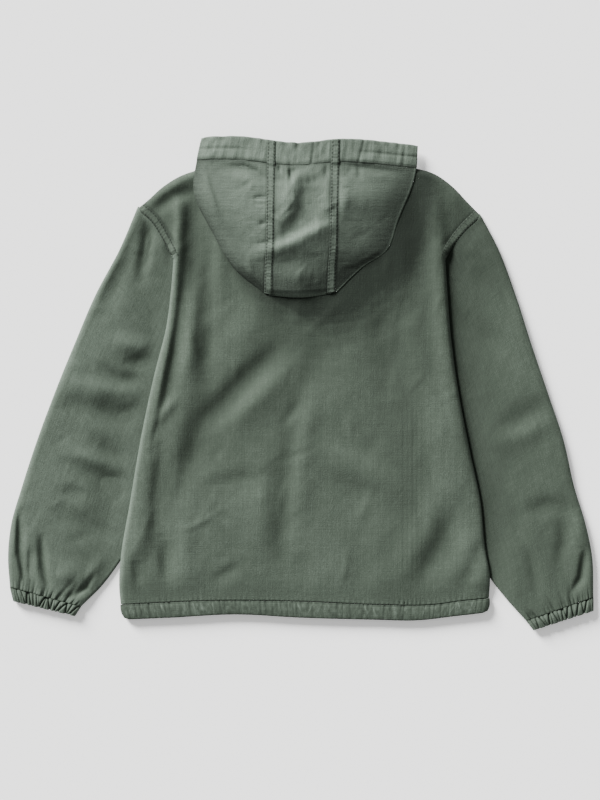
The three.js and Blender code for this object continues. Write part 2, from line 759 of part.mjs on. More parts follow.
// Felled armhole seams, on the back's edge from shoulder point to underarm
const armholeStripRows = backRows.filter((v) => v > underarmShare && v < 1);
[left, right].forEach((side) => {
  const onBack = (column, v) => backPoint(side === left ? column : 1 - column, v);
  seamStrip(`armhole_seam_${side.name}`, armholeStripRows, backColumns.slice(0, 4), onBack, bodyCloth);
});

export default smock;
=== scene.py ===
# %% [markdown]
# # A hooded smock, laid flat with its back up
# The smock is sewn from washed cotton twill: a back, a front, two sleeves with elastic cuffs,
# a hem with a cord in it, and a three-panel hood that hangs down over the back. The packed
# model already holds each of these as a plain wall of cloth. Here every one is made again as
# a finer shell on the same form, with its creases, puckers, stitches and weave.
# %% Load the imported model
import math
from collections import namedtuple

import bpy
import numpy as np
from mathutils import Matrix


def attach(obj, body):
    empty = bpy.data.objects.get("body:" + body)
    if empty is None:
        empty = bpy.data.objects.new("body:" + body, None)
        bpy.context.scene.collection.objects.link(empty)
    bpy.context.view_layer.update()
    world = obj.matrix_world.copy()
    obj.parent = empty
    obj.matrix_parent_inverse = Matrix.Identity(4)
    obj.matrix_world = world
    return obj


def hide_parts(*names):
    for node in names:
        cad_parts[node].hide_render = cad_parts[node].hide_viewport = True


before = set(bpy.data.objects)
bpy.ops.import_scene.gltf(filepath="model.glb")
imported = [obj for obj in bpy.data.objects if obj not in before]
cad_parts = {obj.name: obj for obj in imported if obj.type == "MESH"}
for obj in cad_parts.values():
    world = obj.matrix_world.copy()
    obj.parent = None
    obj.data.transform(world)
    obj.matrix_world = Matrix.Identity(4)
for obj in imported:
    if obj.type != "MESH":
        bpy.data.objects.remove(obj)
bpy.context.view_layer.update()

# %% [markdown]
# ## Camera and light
# The photograph looks straight down from far away, so the camera stands high above with a
# long lens. Its frame covers 930 x 1240 mm of the floor.
# %% Camera
MM = 0.001
VIEW_HEIGHT = 1240 * MM
VIEW_CENTRE = (-1.55 * MM, -25.6 * MM)
CAMERA_HEIGHT = 4.0
SENSOR = 24.0

camera_data = bpy.data.cameras.new("camera")
camera_data.sensor_fit = "VERTICAL"
camera_data.sensor_height = SENSOR
camera_data.lens = SENSOR * CAMERA_HEIGHT / VIEW_HEIGHT
camera_data.clip_end = 50
camera = bpy.data.objects.new("camera", camera_data)
camera.location = (*VIEW_CENTRE, CAMERA_HEIGHT)
bpy.context.scene.collection.objects.link(camera)
bpy.context.scene.camera = camera
print("lens", round(camera_data.lens, 1))

# %% [markdown]
# One wide sun stands low in the upper left, so that each fold has a lit side and a dark one.
# A white world fills the shadows.
# %% Lights
SUN_FROM = (-0.60, 0.72, 0.37)
SUN_STRENGTH = 15.0
SUN_ANGLE = 24
WORLD_STRENGTH = 0.42


def add_sun(name, towards, strength, angle):
    """A sun that shines from the given direction; a wide angle makes its shadows soft."""
    data = bpy.data.lights.new(name, "SUN")
    data.energy = strength
    data.angle = math.radians(angle)
    light = bpy.data.objects.new(name, data)
    x, y, z = towards
    light.rotation_euler = (math.atan2(math.hypot(x, y), z), 0, math.atan2(x, -y))
    bpy.context.scene.collection.objects.link(light)


add_sun("key", SUN_FROM, SUN_STRENGTH, SUN_ANGLE)
world = bpy.data.worlds.new("studio")
world.use_nodes = True
world.node_tree.nodes["Background"].inputs["Color"].default_value = (1.0, 1.0, 1.0, 1.0)
world.node_tree.nodes["Background"].inputs["Strength"].default_value = WORLD_STRENGTH
bpy.context.scene.world = world
print("lights", [o.name for o in bpy.data.objects if o.type == "LIGHT"])

# %% [markdown]
# ## Shader maths
# A weave is a formula, so the shader is easier to read as one. The class below wraps a
# socket: an expression such as `1 - mask * 0.5` adds its Math nodes by itself.
# %% Socket wrapper
class Value:
    """A float socket that can be used in Python expressions."""

    def __init__(self, shader, socket):
        self.shader = shader
        self.socket = socket

    def math(self, operation, *others):
        return self.shader.node("Math", {"operation": operation}, self, *others)

    def __add__(self, other):
        return self.math("ADD", other)

    def __sub__(self, other):
        return self.math("SUBTRACT", other)

    def __mul__(self, other):
        return self.math("MULTIPLY", other)

    def __truediv__(self, other):
        return self.math("DIVIDE", other)

    def __rsub__(self, other):
        return self.shader.node("Math", {"operation": "SUBTRACT"}, other, self)

    __radd__ = __add__
    __rmul__ = __mul__

    def sin(self):
        return self.math("SINE")

    def fold(self, period):
        return self.math("PINGPONG", period)

    def clamp(self, low=0.0, high=1.0):
        return self.math("MAXIMUM", low).math("MINIMUM", high)

    def ramp(self, low, high):
        return ((self - low) / (high - low)).clamp()


SHINE = 0.25


class Shader:
    """One material's node tree, with short ways to add nodes to it."""

    def __init__(self, name, roughness):
        self.material = bpy.data.materials.new(name)
        self.material.use_nodes = True
        self.tree = self.material.node_tree
        self.surface = self.tree.nodes["Principled BSDF"]
        self.surface.inputs["Roughness"].default_value = roughness
        self.surface.inputs["Specular IOR Level"].default_value = SHINE

    def node(self, kind, settings, *values, output=0, **named):
        """Adds a node; settings come first, then values or links for its sockets."""
        node = self.tree.nodes.new("ShaderNode" + kind)
        for key, setting in settings.items():
            setattr(node, key, setting)
        for key, value in [*enumerate(values), *named.items()]:
            socket = node.inputs[key.replace("_", " ") if isinstance(key, str) else key]
            if isinstance(value, Value):
                self.tree.links.new(value.socket, socket)
            else:
                socket.default_value = value
        return Value(self, node.outputs[output])

    def noise(self, place, scale, detail=2.0):
        return self.node("TexNoise", {}, Vector=place, Scale=scale, Detail=detail)

    def mix(self, share, first, second):
        """A colour between two colours."""
        node = self.tree.nodes.new("ShaderNodeMix")
        node.data_type = "RGBA"
        for index, value in ((0, share), (6, first), (7, second)):
            if isinstance(value, Value):
                self.tree.links.new(value.socket, node.inputs[index])
            else:
                node.inputs[index].default_value = value
        return Value(self, node.outputs[2])

    def finish(self, colour, height, strength, depth):
        """Links the colour, and a bump of the given depth in metres."""
        bump = self.node("Bump", {}, Strength=strength, Distance=depth, Height=height)
        self.tree.links.new(colour.socket, self.surface.inputs["Base Color"])
        self.tree.links.new(bump.socket, self.surface.inputs["Normal"])
        return self.material


print("shader helpers ready")

# %% [markdown]
# ## The cloth
# The smock's cotton is a herringbone twill that has been washed often: fine diagonal ribs
# that turn back every few millimetres, streaks along the warp and cloudy fading. Ridges and
# fold edges are worn pale and partly painted lighter as highlights, and hollows, creases and
# seams are painted darker as shade. The pattern follows each panel's own flat coordinates, in
# millimetres, as cloth is cut. One attribute on each piece is above zero where the cloth is
# worn pale or painted light, and below zero where it is painted dark as shade.
# %% Cloth material
RIB_PITCH = 0.9
RIB_TURN = 5.0


def cloth_material(name, dark, base, pale, cloud_scale=7.0, streak=0.36):
    """Washed herringbone twill; colours for painted shade, plain cloth, and pale wear or painted light."""
    shader = Shader(name, roughness=0.88)
    flat = shader.node("UVMap", {"uv_map": "flat"})
    split = shader.node("SeparateXYZ", {}, flat)
    across = split * 1000
    along = Value(shader, split.socket.node.outputs[1]) * 1000
    wear_and_shading = shader.node("Attribute", {"attribute_name": "wear_and_shading"}, output=2)

    def yarns(across_scale, along_scale, detail, shift=0.0):
        """Noise stretched by its two scales, which are in waves to a millimetre."""
        place = shader.node("CombineXYZ", {}, across * across_scale, along * along_scale, shift)
        return shader.noise(place, 1.0, detail)

    # Twill ribs that turn back, so that they stand in faint stripes
    zigzag = across.fold(RIB_TURN)
    rib = ((along + zigzag) * (math.tau / RIB_PITCH)).sin() * 0.5 + 0.5
    stripe = zigzag.ramp(0.0, RIB_TURN)

    # Uneven yarns: streaks along the warp, finer ones along the weft, and thick spots
    warp = yarns(0.5, 0.02, 4.0)
    weft = yarns(0.02, 0.7, 2.0)
    slub = yarns(0.45, 0.16, 2.0, shift=3.0)
    cloud = shader.noise(flat, cloud_scale, 3.0)
    speck = shader.noise(flat, 620.0, 2.0)
    blotch = shader.noise(flat, 85.0, 3.0)

    tone = (warp - 0.5) * streak + (weft - 0.5) * 0.26 + (cloud - 0.5) * 0.40 + (speck - 0.5) * 0.95
    tone = tone + (slub - 0.5) * 0.45 + (blotch - 0.5) * 0.34
    tone = tone + (rib - 0.5) * 0.10 + (stripe - 0.5) * 0.06
    # Above zero the attribute pales the cloth, for wear and painted light; below zero it darkens it as
    # painted shade.
    paler = (wear_and_shading * (0.75 + cloud * 0.5) + tone).ramp(0.0, 1.0)
    darker = (wear_and_shading * -1.0 - tone * 0.8).ramp(0.0, 1.0)
    colour = shader.mix(paler, base, pale)
    colour = shader.mix(darker, colour, dark)
    height = rib * 0.08 + warp * 0.5 + weft * 0.5 + speck * 0.9 + slub * 0.7
    return shader.finish(colour, height, strength=0.8, depth=0.0005)


def rgb(red, green, blue):
    return (red, green, blue, 1.0)


# Each cloth: its colour for painted shade, its plain colour, and its colour for pale wear and painted
# light.
body_twill = cloth_material(
    "body_twill", rgb(0.009, 0.014, 0.009), rgb(0.042, 0.057, 0.0415), rgb(0.105, 0.136, 0.107)
)
# The hood's cloth is the body's cloth made paler, as painted light for the extra light that the raised
# hood catches.
hood_twill = cloth_material(
    "hood_twill", rgb(0.016, 0.022, 0.016), rgb(0.078, 0.101, 0.0785), rgb(0.172, 0.216, 0.177),
    streak=0.85
)
edge_twill = cloth_material(
    "edge_twill", rgb(0.010, 0.015, 0.010), rgb(0.043, 0.058, 0.0425), rgb(0.118, 0.150, 0.120),
    cloud_scale=14.0
)


def thread_material():
    """Dyed sewing thread: two twisted plies, a little darker than the cloth."""
    shader = Shader("thread", roughness=0.75)
    place = shader.node("TexCoord", {}, output=3)
    grime = shader.noise(place, 60.0)
    twist = shader.node("TexWave", {"bands_direction": "DIAGONAL"}, Vector=place, Scale=900.0)
    colour = shader.mix(grime.ramp(0.3, 0.8), rgb(0.010, 0.013, 0.010), rgb(0.026, 0.033, 0.026))
    return shader.finish(colour, twist, strength=0.4, depth=0.0001)


thread = thread_material()
print("materials", [m.name for m in (body_twill, hood_twill, edge_twill, thread)])

# %% [markdown]
# ## The floor
# A pale board reaches past the picture on every side. It glows a little, so that it stays
# near white under a lamp that is low enough for the folds.
# %% Floor
FLOOR_HALF = 6.0
FLOOR_DROP = 0.0002
FLOOR_GLOW = 0.3


def floor_material():
    """A pale sweep of matt board with a hardly visible grain."""
    shader = Shader("floor", roughness=0.9)
    shader.surface.inputs["Emission Color"].default_value = (1.0, 1.0, 0.99, 1.0)
    shader.surface.inputs["Emission Strength"].default_value = FLOOR_GLOW
    place = shader.node("TexCoord", {}, output=3)
    grain = shader.noise(place, 220.0)
    colour = shader.mix(grain, rgb(0.965, 0.965, 0.96), rgb(0.98, 0.98, 0.975))
    return shader.finish(colour, grain, strength=0.1, depth=0.0002)


floor_mesh = bpy.data.meshes.new("floor")
corners = [(-1, -1), (1, -1), (1, 1), (-1, 1)]
floor_points = [(x * FLOOR_HALF, y * FLOOR_HALF, -FLOOR_DROP) for x, y in corners]
floor_mesh.from_pydata(floor_points, [], [(0, 1, 2, 3)])
floor_mesh.materials.append(floor_material())
floor = bpy.data.objects.new("floor", floor_mesh)
bpy.context.scene.collection.objects.link(floor)
print("floor", floor.dimensions[:])

# %% [markdown]
# ## Curves and surfaces
# The garment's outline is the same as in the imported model: short tables of points with a
# smooth curve through them, and a patch stretched between four such curves. All of it works
# on whole arrays, so a panel of fifty thousand points takes a fraction of a second. The
# sizes are in millimetres; X runs to the right, Y from hem to hood, Z up from the table.
# %% Curves
def mix(a, b, share):
    return a + (b - a) * share


def smooth(low, high, value):
    share = np.clip((np.asarray(value, float) - low) / (high - low), 0, 1)
    return share * share * (3 - 2 * share)


def hill(away, width):
    """A smooth bump: 1 where `away` is zero, gone at about twice `width`."""
    return np.exp(-((away / width) ** 2))


def roll(share):
    """A quarter circle: 0 at the edge, 1 where the cloth has turned over."""
    return np.sqrt(1 - (1 - np.clip(share, 0, 1)) ** 2)


def spline(knots, values):
    """A smooth function through values at rising knots."""
    knots, values = np.asarray(knots, float), np.asarray(values, float)
    steps = np.diff(knots)
    slopes = np.diff(values) / steps
    middle = (slopes[:-1] * steps[1:] + slopes[1:] * steps[:-1]) / (steps[:-1] + steps[1:])
    tangents = np.concatenate([slopes[:1], middle, slopes[-1:]])

    def at(where):
        t = np.clip(where, knots[0], knots[-1])
        i = np.clip(np.searchsorted(knots, t) - 1, 0, len(steps) - 1)
        s = (t - knots[i]) / steps[i]
        leave = s * (1 - s) ** 2 * steps[i] * tangents[i]
        arrive = s * s * (s - 1) * steps[i] * tangents[i + 1]
        return mix(values[i], values[i + 1], s * s * (3 - 2 * s)) + leave + arrive

    return at


def curve(rows):
    """A plane curve through rows of (x, y); its parameter is the share of its length."""
    rows = np.asarray(rows, float)
    lengths = np.concatenate([[0], np.cumsum(np.hypot(*np.diff(rows, axis=0).T))])
    x, y = spline(lengths / lengths[-1], rows[:, 0]), spline(lengths / lengths[-1], rows[:, 1])

    def at(share):
        return np.stack([x(share), y(share)], axis=-1)

    at.total, at.shares = lengths[-1], lengths / lengths[-1]
    return at


def patch(border, s, t):
    """A surface between four border curves that meet at the corners."""
    s1, t1 = s[..., None], t[..., None]
    low, high = border["low"], border["high"]
    corners = [low(0.0), low(1.0), high(0.0), high(1.0)]
    flat = mix(mix(corners[0], corners[1], s1), mix(corners[2], corners[3], s1), t1)
    across = mix(low(s), high(s), t1)
    along = mix(border["left"](t), border["right"](t), s1)
    place = across + along - flat
    return place[..., 0], place[..., 1]


print("curve helpers ready")

# %% [markdown]
# ## Creases
# A crease is a short path over the cloth with a width on its left, a width on its right and
# a height: below zero it is a trough. Two different widths make a fold that is steep on one
# side and soft on the other, as real ones are. A little smooth noise keeps the rest uneven.
# %% Creases
Crease = namedtuple("Crease", "path left right height")
NOISE_CELLS = 61
MOST_SLITS = 200


def crease_height(creases, x, y):
    """The sum of all creases at each place; each fades out towards both its ends."""
    total = np.zeros(np.shape(x))
    for crease in creases:
        path = np.asarray(crease.path, float)
        lengths = np.hypot(*np.diff(path, axis=0).T)
        starts = np.concatenate([[0], np.cumsum(lengths)])
        best = np.full(total.shape, 1e9)
        side, along = np.zeros(total.shape), np.zeros(total.shape)
        for (x0, y0), (x1, y1), length, start in zip(path, path[1:], lengths, starts):
            share = np.clip(((x - x0) * (x1 - x0) + (y - y0) * (y1 - y0)) / length**2, 0, 1)
            dx, dy = x - mix(x0, x1, share), y - mix(y0, y1, share)
            away = np.hypot(dx, dy)
            nearer = away < best
            turn = ((x1 - x0) * dy - (y1 - y0) * dx) / (length * np.maximum(away, 1e-6))
            side = np.where(nearer, turn, side)
            along = np.where(nearer, (start + share * length) / starts[-1], along)
            best = np.where(nearer, away, best)
        width = mix(crease.right, crease.left, smooth(-1, 1, side))
        fade = 0.25 + 0.75 * np.sin(np.pi * along) ** 0.8
        total += crease.height * fade * hill(best, width)
    return total


def noise(x, y, seed):
    """Smooth random values between -1 and 1, about one wave to a unit."""
    table = np.random.default_rng(seed).uniform(-1, 1, (NOISE_CELLS, NOISE_CELLS))
    x, y = np.broadcast_arrays(np.asarray(x, float), np.asarray(y, float))
    i, j = np.floor(x).astype(int), np.floor(y).astype(int)
    s, t = x - i, y - j
    s, t = s * s * s * (s * (s * 6 - 15) + 10), t * t * t * (t * (t * 6 - 15) + 10)
    i, j, next_i, next_j = (k % NOISE_CELLS for k in (i, j, i + 1, j + 1))
    low = mix(table[i, j], table[next_i, j], s)
    high = mix(table[i, next_j], table[next_i, next_j], s)
    return mix(low, high, t)


def rumple(x, y, seed):
    """Soft unevenness of washed cloth: a few sizes of smooth noise, in millimetres."""
    broad = noise(x / 70, y / 95, seed) * 1.5
    middle = noise(x / 27 + 9, y / 36, seed + 1) * 0.45
    small = noise(x / 12, y / 15 + 5, seed + 3) * 0.16
    return broad + middle + small


def drape(creases, x, y, depth, limit):
    """Creases made `depth` times as high, with troughs never deeper than `limit`."""
    folds = crease_height(creases, x, y) * depth
    return np.where(folds < 0, -limit * np.tanh(-folds / limit), folds)


def small_creases(count, low, high, angle, length, width, height, seed):
    """Short straight creases scattered over a box, most of them near one angle in degrees."""
    rng = np.random.default_rng(seed)
    creases = []
    for _ in range(count):
        x, y = rng.uniform(low[0], high[0]), rng.uniform(low[1], high[1])
        turn = math.radians(angle + rng.normal() * 28)
        half = length * rng.uniform(0.25, 0.6)
        step = (half * math.cos(turn), half * math.sin(turn))
        bend = rng.uniform(-0.12, 0.12) * half
        path = [(x - step[0], y - step[1]), (x - step[1] * bend / half, y + step[0] * bend / half),
                (x + step[0], y + step[1])]
        one, other = width * rng.uniform(0.6, 1.5, 2)
        creases.append(Crease(path, one, other, height * rng.uniform(0.3, 1.0) * rng.choice([-1, 1])))
    return creases


def puckers(along, away, pitch, reach, seed):
    """Small gathers square to a seam, strongest on it and gone `reach` away from it."""
    warped = along / pitch + 0.45 * noise(along / (pitch * 2.3), away * 0 + 0.5, seed)
    uneven = 0.65 + 0.35 * noise(along / (pitch * 1.7), away * 0 + 3.5, seed + 1)
    lengths = reach * (0.75 + 0.5 * noise(along / pitch, away * 0 + 8.5, seed + 2))
    return np.cos(math.tau * warped) * uneven * hill(away, lengths)


def slits(place, count, lean, seed, narrow=0.16, shallow=0.4):
    """Uneven narrow gaps, about one to each unit of place * count; 0 between them, 1 in one."""
    rng = np.random.default_rng(seed)
    jitter, tilt = rng.uniform(-0.3, 0.3, MOST_SLITS), rng.uniform(-0.4, 0.4, MOST_SLITS)
    wide, deep = narrow * rng.uniform(0.7, 1.6, MOST_SLITS), rng.uniform(shallow, 1.0, MOST_SLITS)
    place = np.asarray(place, float) * count
    total = np.zeros(np.broadcast(place, lean).shape)
    for step in (-1, 0, 1):
        k = np.clip(np.floor(place).astype(int) + step, -1, MOST_SLITS - 2) + 1
        middle = k - 0.5 + jitter[k] + tilt[k] * lean
        total = total + deep[k] * hill(place - middle, wide[k])
    return np.minimum(total, 1)


print("crease helpers ready")

# %% [markdown]
# ## From a grid to a shell
# Each piece is worked out as a grid of points on the middle of the cloth. The shell's outer
# side keeps every point; its inner side, which hardly shows, keeps every third row and
# column, and the rim joins the two. That halves the triangles and loses nothing.
# %% Shell
CLOTH = 1.2


def shell_normals(grid, ring):
    """Unit normals of a grid; a ring's columns run all the way round."""
    if ring:
        along = np.roll(grid, -1, axis=1) - np.roll(grid, 1, axis=1)
    else:
        along = np.gradient(grid, axis=1)
    normal = np.cross(along, np.gradient(grid, axis=0))
    return normal / np.maximum(np.linalg.norm(normal, axis=2, keepdims=True), 1e-9)


def kept(count, step, ring):
    """Indices of the rows or columns that the inner side keeps."""
    indices = list(range(0, count, step))
    if not ring and indices[-1] != count - 1:
        indices.append(count - 1)
    return indices


def shell(name, grid, material, flat, wear_and_shading=0.0, thickness=CLOTH, ring=False, facing="out", step=3):
    """A closed thin shell from a grid; `flat` holds each point's place on the cut panel."""
    rows, columns = grid.shape[:2]
    normals = shell_normals(grid, ring)
    outwards = grid - grid.mean(axis=1, keepdims=True)
    if facing == "up":
        outwards = np.zeros_like(grid)
        outwards[..., 2] = 1
    sign = 1 if (normals * outwards).sum() > 0 else -1
    outer = grid + normals * (sign * thickness / 2)
    i_kept, j_kept = kept(rows, step, False), kept(columns, step, ring)
    pick = np.ix_(i_kept, j_kept)
    inner = (grid - normals * (sign * thickness / 2))[pick]
    count = rows * columns

    def out(i, j):
        return i * columns + j % columns

    def into(a, b):
        return count + a * len(j_kept) + b % len(j_kept)

    faces = []
    i, j = np.meshgrid(np.arange(rows - 1), np.arange(columns - (not ring)), indexing="ij")
    quads = [out(i, j), out(i, j + 1), out(i + 1, j + 1), out(i + 1, j)]
    faces += np.stack(quads, axis=-1).reshape(-1, 4).tolist()
    a, b = np.meshgrid(
        np.arange(len(i_kept) - 1), np.arange(len(j_kept) - (not ring)), indexing="ij"
    )
    quads = [into(a, b), into(a + 1, b), into(a + 1, b + 1), into(a, b + 1)]
    faces += np.stack(quads, axis=-1).reshape(-1, 4).tolist()

    j_ends = [*j_kept, columns] if ring else j_kept
    for b, (start, end) in enumerate(zip(j_ends, j_ends[1:])):
        near = [out(0, j) for j in range(end, start, -1)]
        faces.append([out(0, start), into(0, b), into(0, b + 1), *near])
        last, top = rows - 1, len(i_kept) - 1
        far = [out(last, j) for j in range(start, end + 1)]
        faces.append([*far, into(top, b + 1), into(top, b)])
    if not ring:
        for a, (start, end) in enumerate(zip(i_kept, i_kept[1:])):
            left_rim = [out(i, 0) for i in range(start, end + 1)]
            faces.append([*left_rim, into(a + 1, 0), into(a, 0)])
            edge, side = columns - 1, len(j_kept) - 1
            right_rim = [out(i, edge) for i in range(end, start, -1)]
            faces.append([out(start, edge), into(a, side), into(a + 1, side), *right_rim])
    if sign < 0:
        faces = [face[::-1] for face in faces]

    mesh = bpy.data.meshes.new(name)
    points = np.concatenate([outer.reshape(-1, 3), inner.reshape(-1, 3)]) * MM
    mesh.from_pydata(points.tolist(), [], faces)
    mesh.polygons.foreach_set("use_smooth", np.ones(len(faces), bool))
    mesh.materials.append(material)

    flat_points = np.concatenate([flat.reshape(-1, 2), flat[pick].reshape(-1, 2)]) * MM
    corner_points = np.empty(len(mesh.loops), np.int32)
    mesh.loops.foreach_get("vertex_index", corner_points)
    layer = mesh.uv_layers.new(name="flat")
    layer.data.foreach_set("uv", flat_points[corner_points].ravel().astype(np.float32))
    # Each point's wear and painted light above zero, and painted shade below zero.
    wear_and_shading = np.broadcast_to(wear_and_shading, (rows, columns))
    values = np.concatenate([wear_and_shading.ravel(), wear_and_shading[pick].ravel()])
    mesh.attributes.new("wear_and_shading", "FLOAT", "POINT").data.foreach_set("value", values)
    mesh.validate()
    mesh.update()

    piece = bpy.data.objects.new(name, mesh)
    bpy.context.scene.collection.objects.link(piece)
    triangles = sum(len(p.vertices) - 2 for p in mesh.polygons)
    print(name, "triangles", triangles, "top", round(float(points[:, 2].max()) * 1000, 1))
    return piece


def row_lengths(grid):
    """How far along its row each point of a grid lies, from the first column."""
    steps = np.linalg.norm(np.diff(grid, axis=1), axis=2)
    return np.concatenate([np.zeros((len(grid), 1)), np.cumsum(steps, axis=1)], axis=1)


def shares(length, near_start, near_end, between):
    """Shares between two ends that lie close together near both of them."""
    start = np.array(near_start, float) / length
    end = 1 - np.array(near_end, float) / length
    middle = np.linspace(start[-1], end[-1], between + 1)
    return np.concatenate([start[:-1], middle, end[-2::-1]])


def finish_piece(piece, node):
    """Ties a piece to its body and hides the solid that it stands for."""
    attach(piece, "root")
    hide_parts(node)


print("shell helpers ready")

# %% [markdown]
# ## The outline
# One table for each side of the garment, in millimetres: the fold down the body's side, the
# armhole seam from underarm to shoulder point, and the sleeve's two edges down to its cuff.
# %% Tables
# A side's rows are (distance out from the middle, height up the picture), all others (x, y)
Side = namedtuple("Side", "name sign edge armhole tucked outer inner cuff_outer cuff_inner fades")
left_side = Side(
    name="left",
    sign=-1,
    edge=[(279, -342), (281, -322), (279, -274), (265, -188), (246, -77), (226, 16), (208, 88),
          (200, 153), (197, 190)],
    armhole=[(197, 190), (214, 222), (234, 252), (254, 269)],
    tucked=(163, 91),
    outer=[(254, 269), (279, 210), (318, 136), (350, 61), (380, -13), (408, -88), (432, -162),
           (448, -218), (453, -267), (450, -315)],
    inner=[(163, 91), (175, 21), (200, -72), (229, -165), (254, -232), (282, -277), (307, -311),
           (341, -345)],
    cuff_outer=(445, -336),
    cuff_inner=(350, -359),
    fades=(-330, -277),
)
right_side = Side(
    name="right",
    sign=1,
    edge=[(291, -332), (292, -298), (285, -257), (277, -179), (262, -109), (242, -5), (231, 78),
          (226, 145), (223, 191)],
    armhole=[(223, 191), (234, 210), (254, 235), (279, 258)],
    tucked=(192, 91),
    outer=[(279, 258), (304, 210), (332, 136), (356, 61), (381, -13), (406, -88), (423, -162),
           (440, -218), (450, -267), (452, -331)],
    inner=[(192, 91), (205, 21), (226, -72), (250, -165), (271, -250), (293, -300), (315, -329),
           (349, -367)],
    cuff_outer=(452, -351),
    cuff_inner=(360, -381),
    fades=(-338, -302),
)
SHOULDER_LINE = [
    (-254, 269), (-236, 284), (-215, 303), (-184, 322), (-164, 329), (-102, 344), (0, 334),
    (102, 344), (180, 332), (202, 326), (236, 303), (254, 284), (279, 258),
]
HEM_SEAM_LINE = [
    (-279, -342), (-141, -336), (-2, -337), (116, -342), (206, -342), (251, -336), (291, -332),
]
HEM_EDGE_LINE = [
    (-273, -365), (-200, -362), (-102, -357), (-2, -362), (107, -365), (183, -366), (236, -360),
    (288, -354),
]
HOOD_OPENING = [(-153, 381), (-95, 381), (-2, 371), (60, 377), (180, 368)]
HOOD_LEFT_EDGE = [(-153, 381), (-161, 343), (-166, 303), (-136, 233), (-105, 181), (-53, 137)]
HOOD_RIGHT_EDGE = [(180, 368), (177, 326), (150, 253), (133, 207), (96, 181), (53, 140)]
HOOD_CROWN = [(-53, 137), (0, 133), (53, 140)]
print("sides", left_side.name, right_side.name)

# %% [markdown]
# The creases, as they lie in the photograph: the back is drawn down from the hood and from
# both arms, so its folds run downwards and to the sides, and the hood has sunk between its
# two seams. The small ones are scattered, mostly along the way in which each part hangs.
# %% Creases of each part
BODY_CREASES = [
    Crease([(-160, 302), (-165, 258), (-167, 222), (-171, 175), (-176, 135)], 17, 17, -3.9),
    Crease([(-140, 228), (-142, 180), (-146, 120), (-149, 60), (-149, 8)], 15, 14, -3.1),
    Crease([(-175, 200), (-181, 150), (-196, 50), (-212, -35), (-229, -103)], 15, 7, -2.5),
    Crease([(-202, 303), (-190, 278), (-187, 250), (-191, 220), (-195, 190), (-198, 140)], 12, 8, 2.5),
    Crease([(-193, 150), (-199, 88), (-215, 16), (-234, -77)], 7, 7, 1.2),
    Crease([(-163, 299), (-194, 290), (-211, 279), (-225, 268)], 11, 11, -2.8),
    Crease([(-130, 240), (-127, 200), (-131, 150)], 14, 12, 1.8),
    Crease([(-142, 85), (-145, 55), (-148, 30)], 12, 9, -1.8),
    Crease([(-168, 100), (-172, 55), (-180, 5)], 12, 12, 1.6),
    Crease([(-32, 54), (-76, 10), (-118, -33), (-152, -64)], 20, 17, -4.8),
    Crease([(-26, 12), (-70, -18), (-112, -60)], 22, 30, 2.0),
    Crease([(-133, -72), (-180, -126), (-219, -173)], 26, 26, -1.6),
    Crease([(-194, -22), (-212, -47), (-222, -63)], 9, 9, 1.8),
    Crease([(41, 67), (18, 5), (-8, -57)], 24, 22, -1.5),
    Crease([(-8, -57), (-21, -150), (-25, -243), (-26, -305)], 24, 19, -1.8),
    Crease([(24, 20), (8, -64), (-3, -153), (-10, -250)], 18, 16, 1.8),
    Crease([(-60, -100), (-64, -190), (-60, -280)], 22, 22, 0.9),
    Crease([(45, -105), (99, -128), (154, -168)], 16, 26, 1.9),
    Crease([(53, -150), (115, -176), (150, -215)], 18, 24, -1.5),
    Crease([(254, -181), (223, -250), (184, -305)], 22, 20, -2.2),
    Crease([(225, -150), (195, -215), (160, -300)], 20, 20, 1.6),
    Crease([(281, -243), (265, -289), (250, -329)], 14, 14, -1.6),
    Crease([(-147, -165), (-101, -150), (-54, -146)], 14, 24, -1.5),
    Crease([(-212, -88), (-223, -181), (-229, -250)], 16, 10, -2.2),
    Crease([(-211, -243), (-207, -305)], 14, 10, -2.6),
    Crease([(-257, -274), (-250, -312)], 12, 8, -1.8),
    Crease([(-133, -305), (-95, -281)], 10, 12, -1.3),
    Crease([(-180, -200), (-178, -262), (-172, -320)], 16, 16, 1.2),
    Crease([(0, -262), (6, -300), (4, -330)], 16, 16, -0.8),
    Crease([(90, -250), (96, -290), (92, -330)], 18, 18, -0.9),
    Crease([(176, 305), (186, 230), (192, 150), (200, 60), (208, -10)], 18, 24, -2.5),
    Crease([(203, 291), (212, 244), (217, 204)], 12, 14, 1.6),
    Crease([(122, 129), (135, 52), (141, -26)], 28, 28, -1.8),
    Crease([(214, 230), (219, 150), (229, 50), (246, -60), (262, -160)], 10, 12, 0.5),
    Crease([(-67, 129), (-85, 83), (-107, 49)], 25, 22, 1.4),
]
FRONT_CREASES = [
    Crease([(-150, 60), (-90, 10), (-40, -60)], 14, 18, 1.6),
    Crease([(-20, 40), (-10, -90), (15, -220)], 16, 14, 1.4),
    Crease([(60, 80), (110, 20), (170, -10)], 16, 16, 1.5),
    Crease([(150, -120), (170, -200), (205, -290)], 14, 16, 1.6),
    Crease([(-205, -150), (-190, -230), (-160, -300)], 12, 15, 1.4),
    Crease([(-60, -180), (0, -200), (70, -190)], 12, 18, 1.1),
    Crease([(-140, 190), (-110, 130), (-100, 70)], 16, 14, 1.3),
]
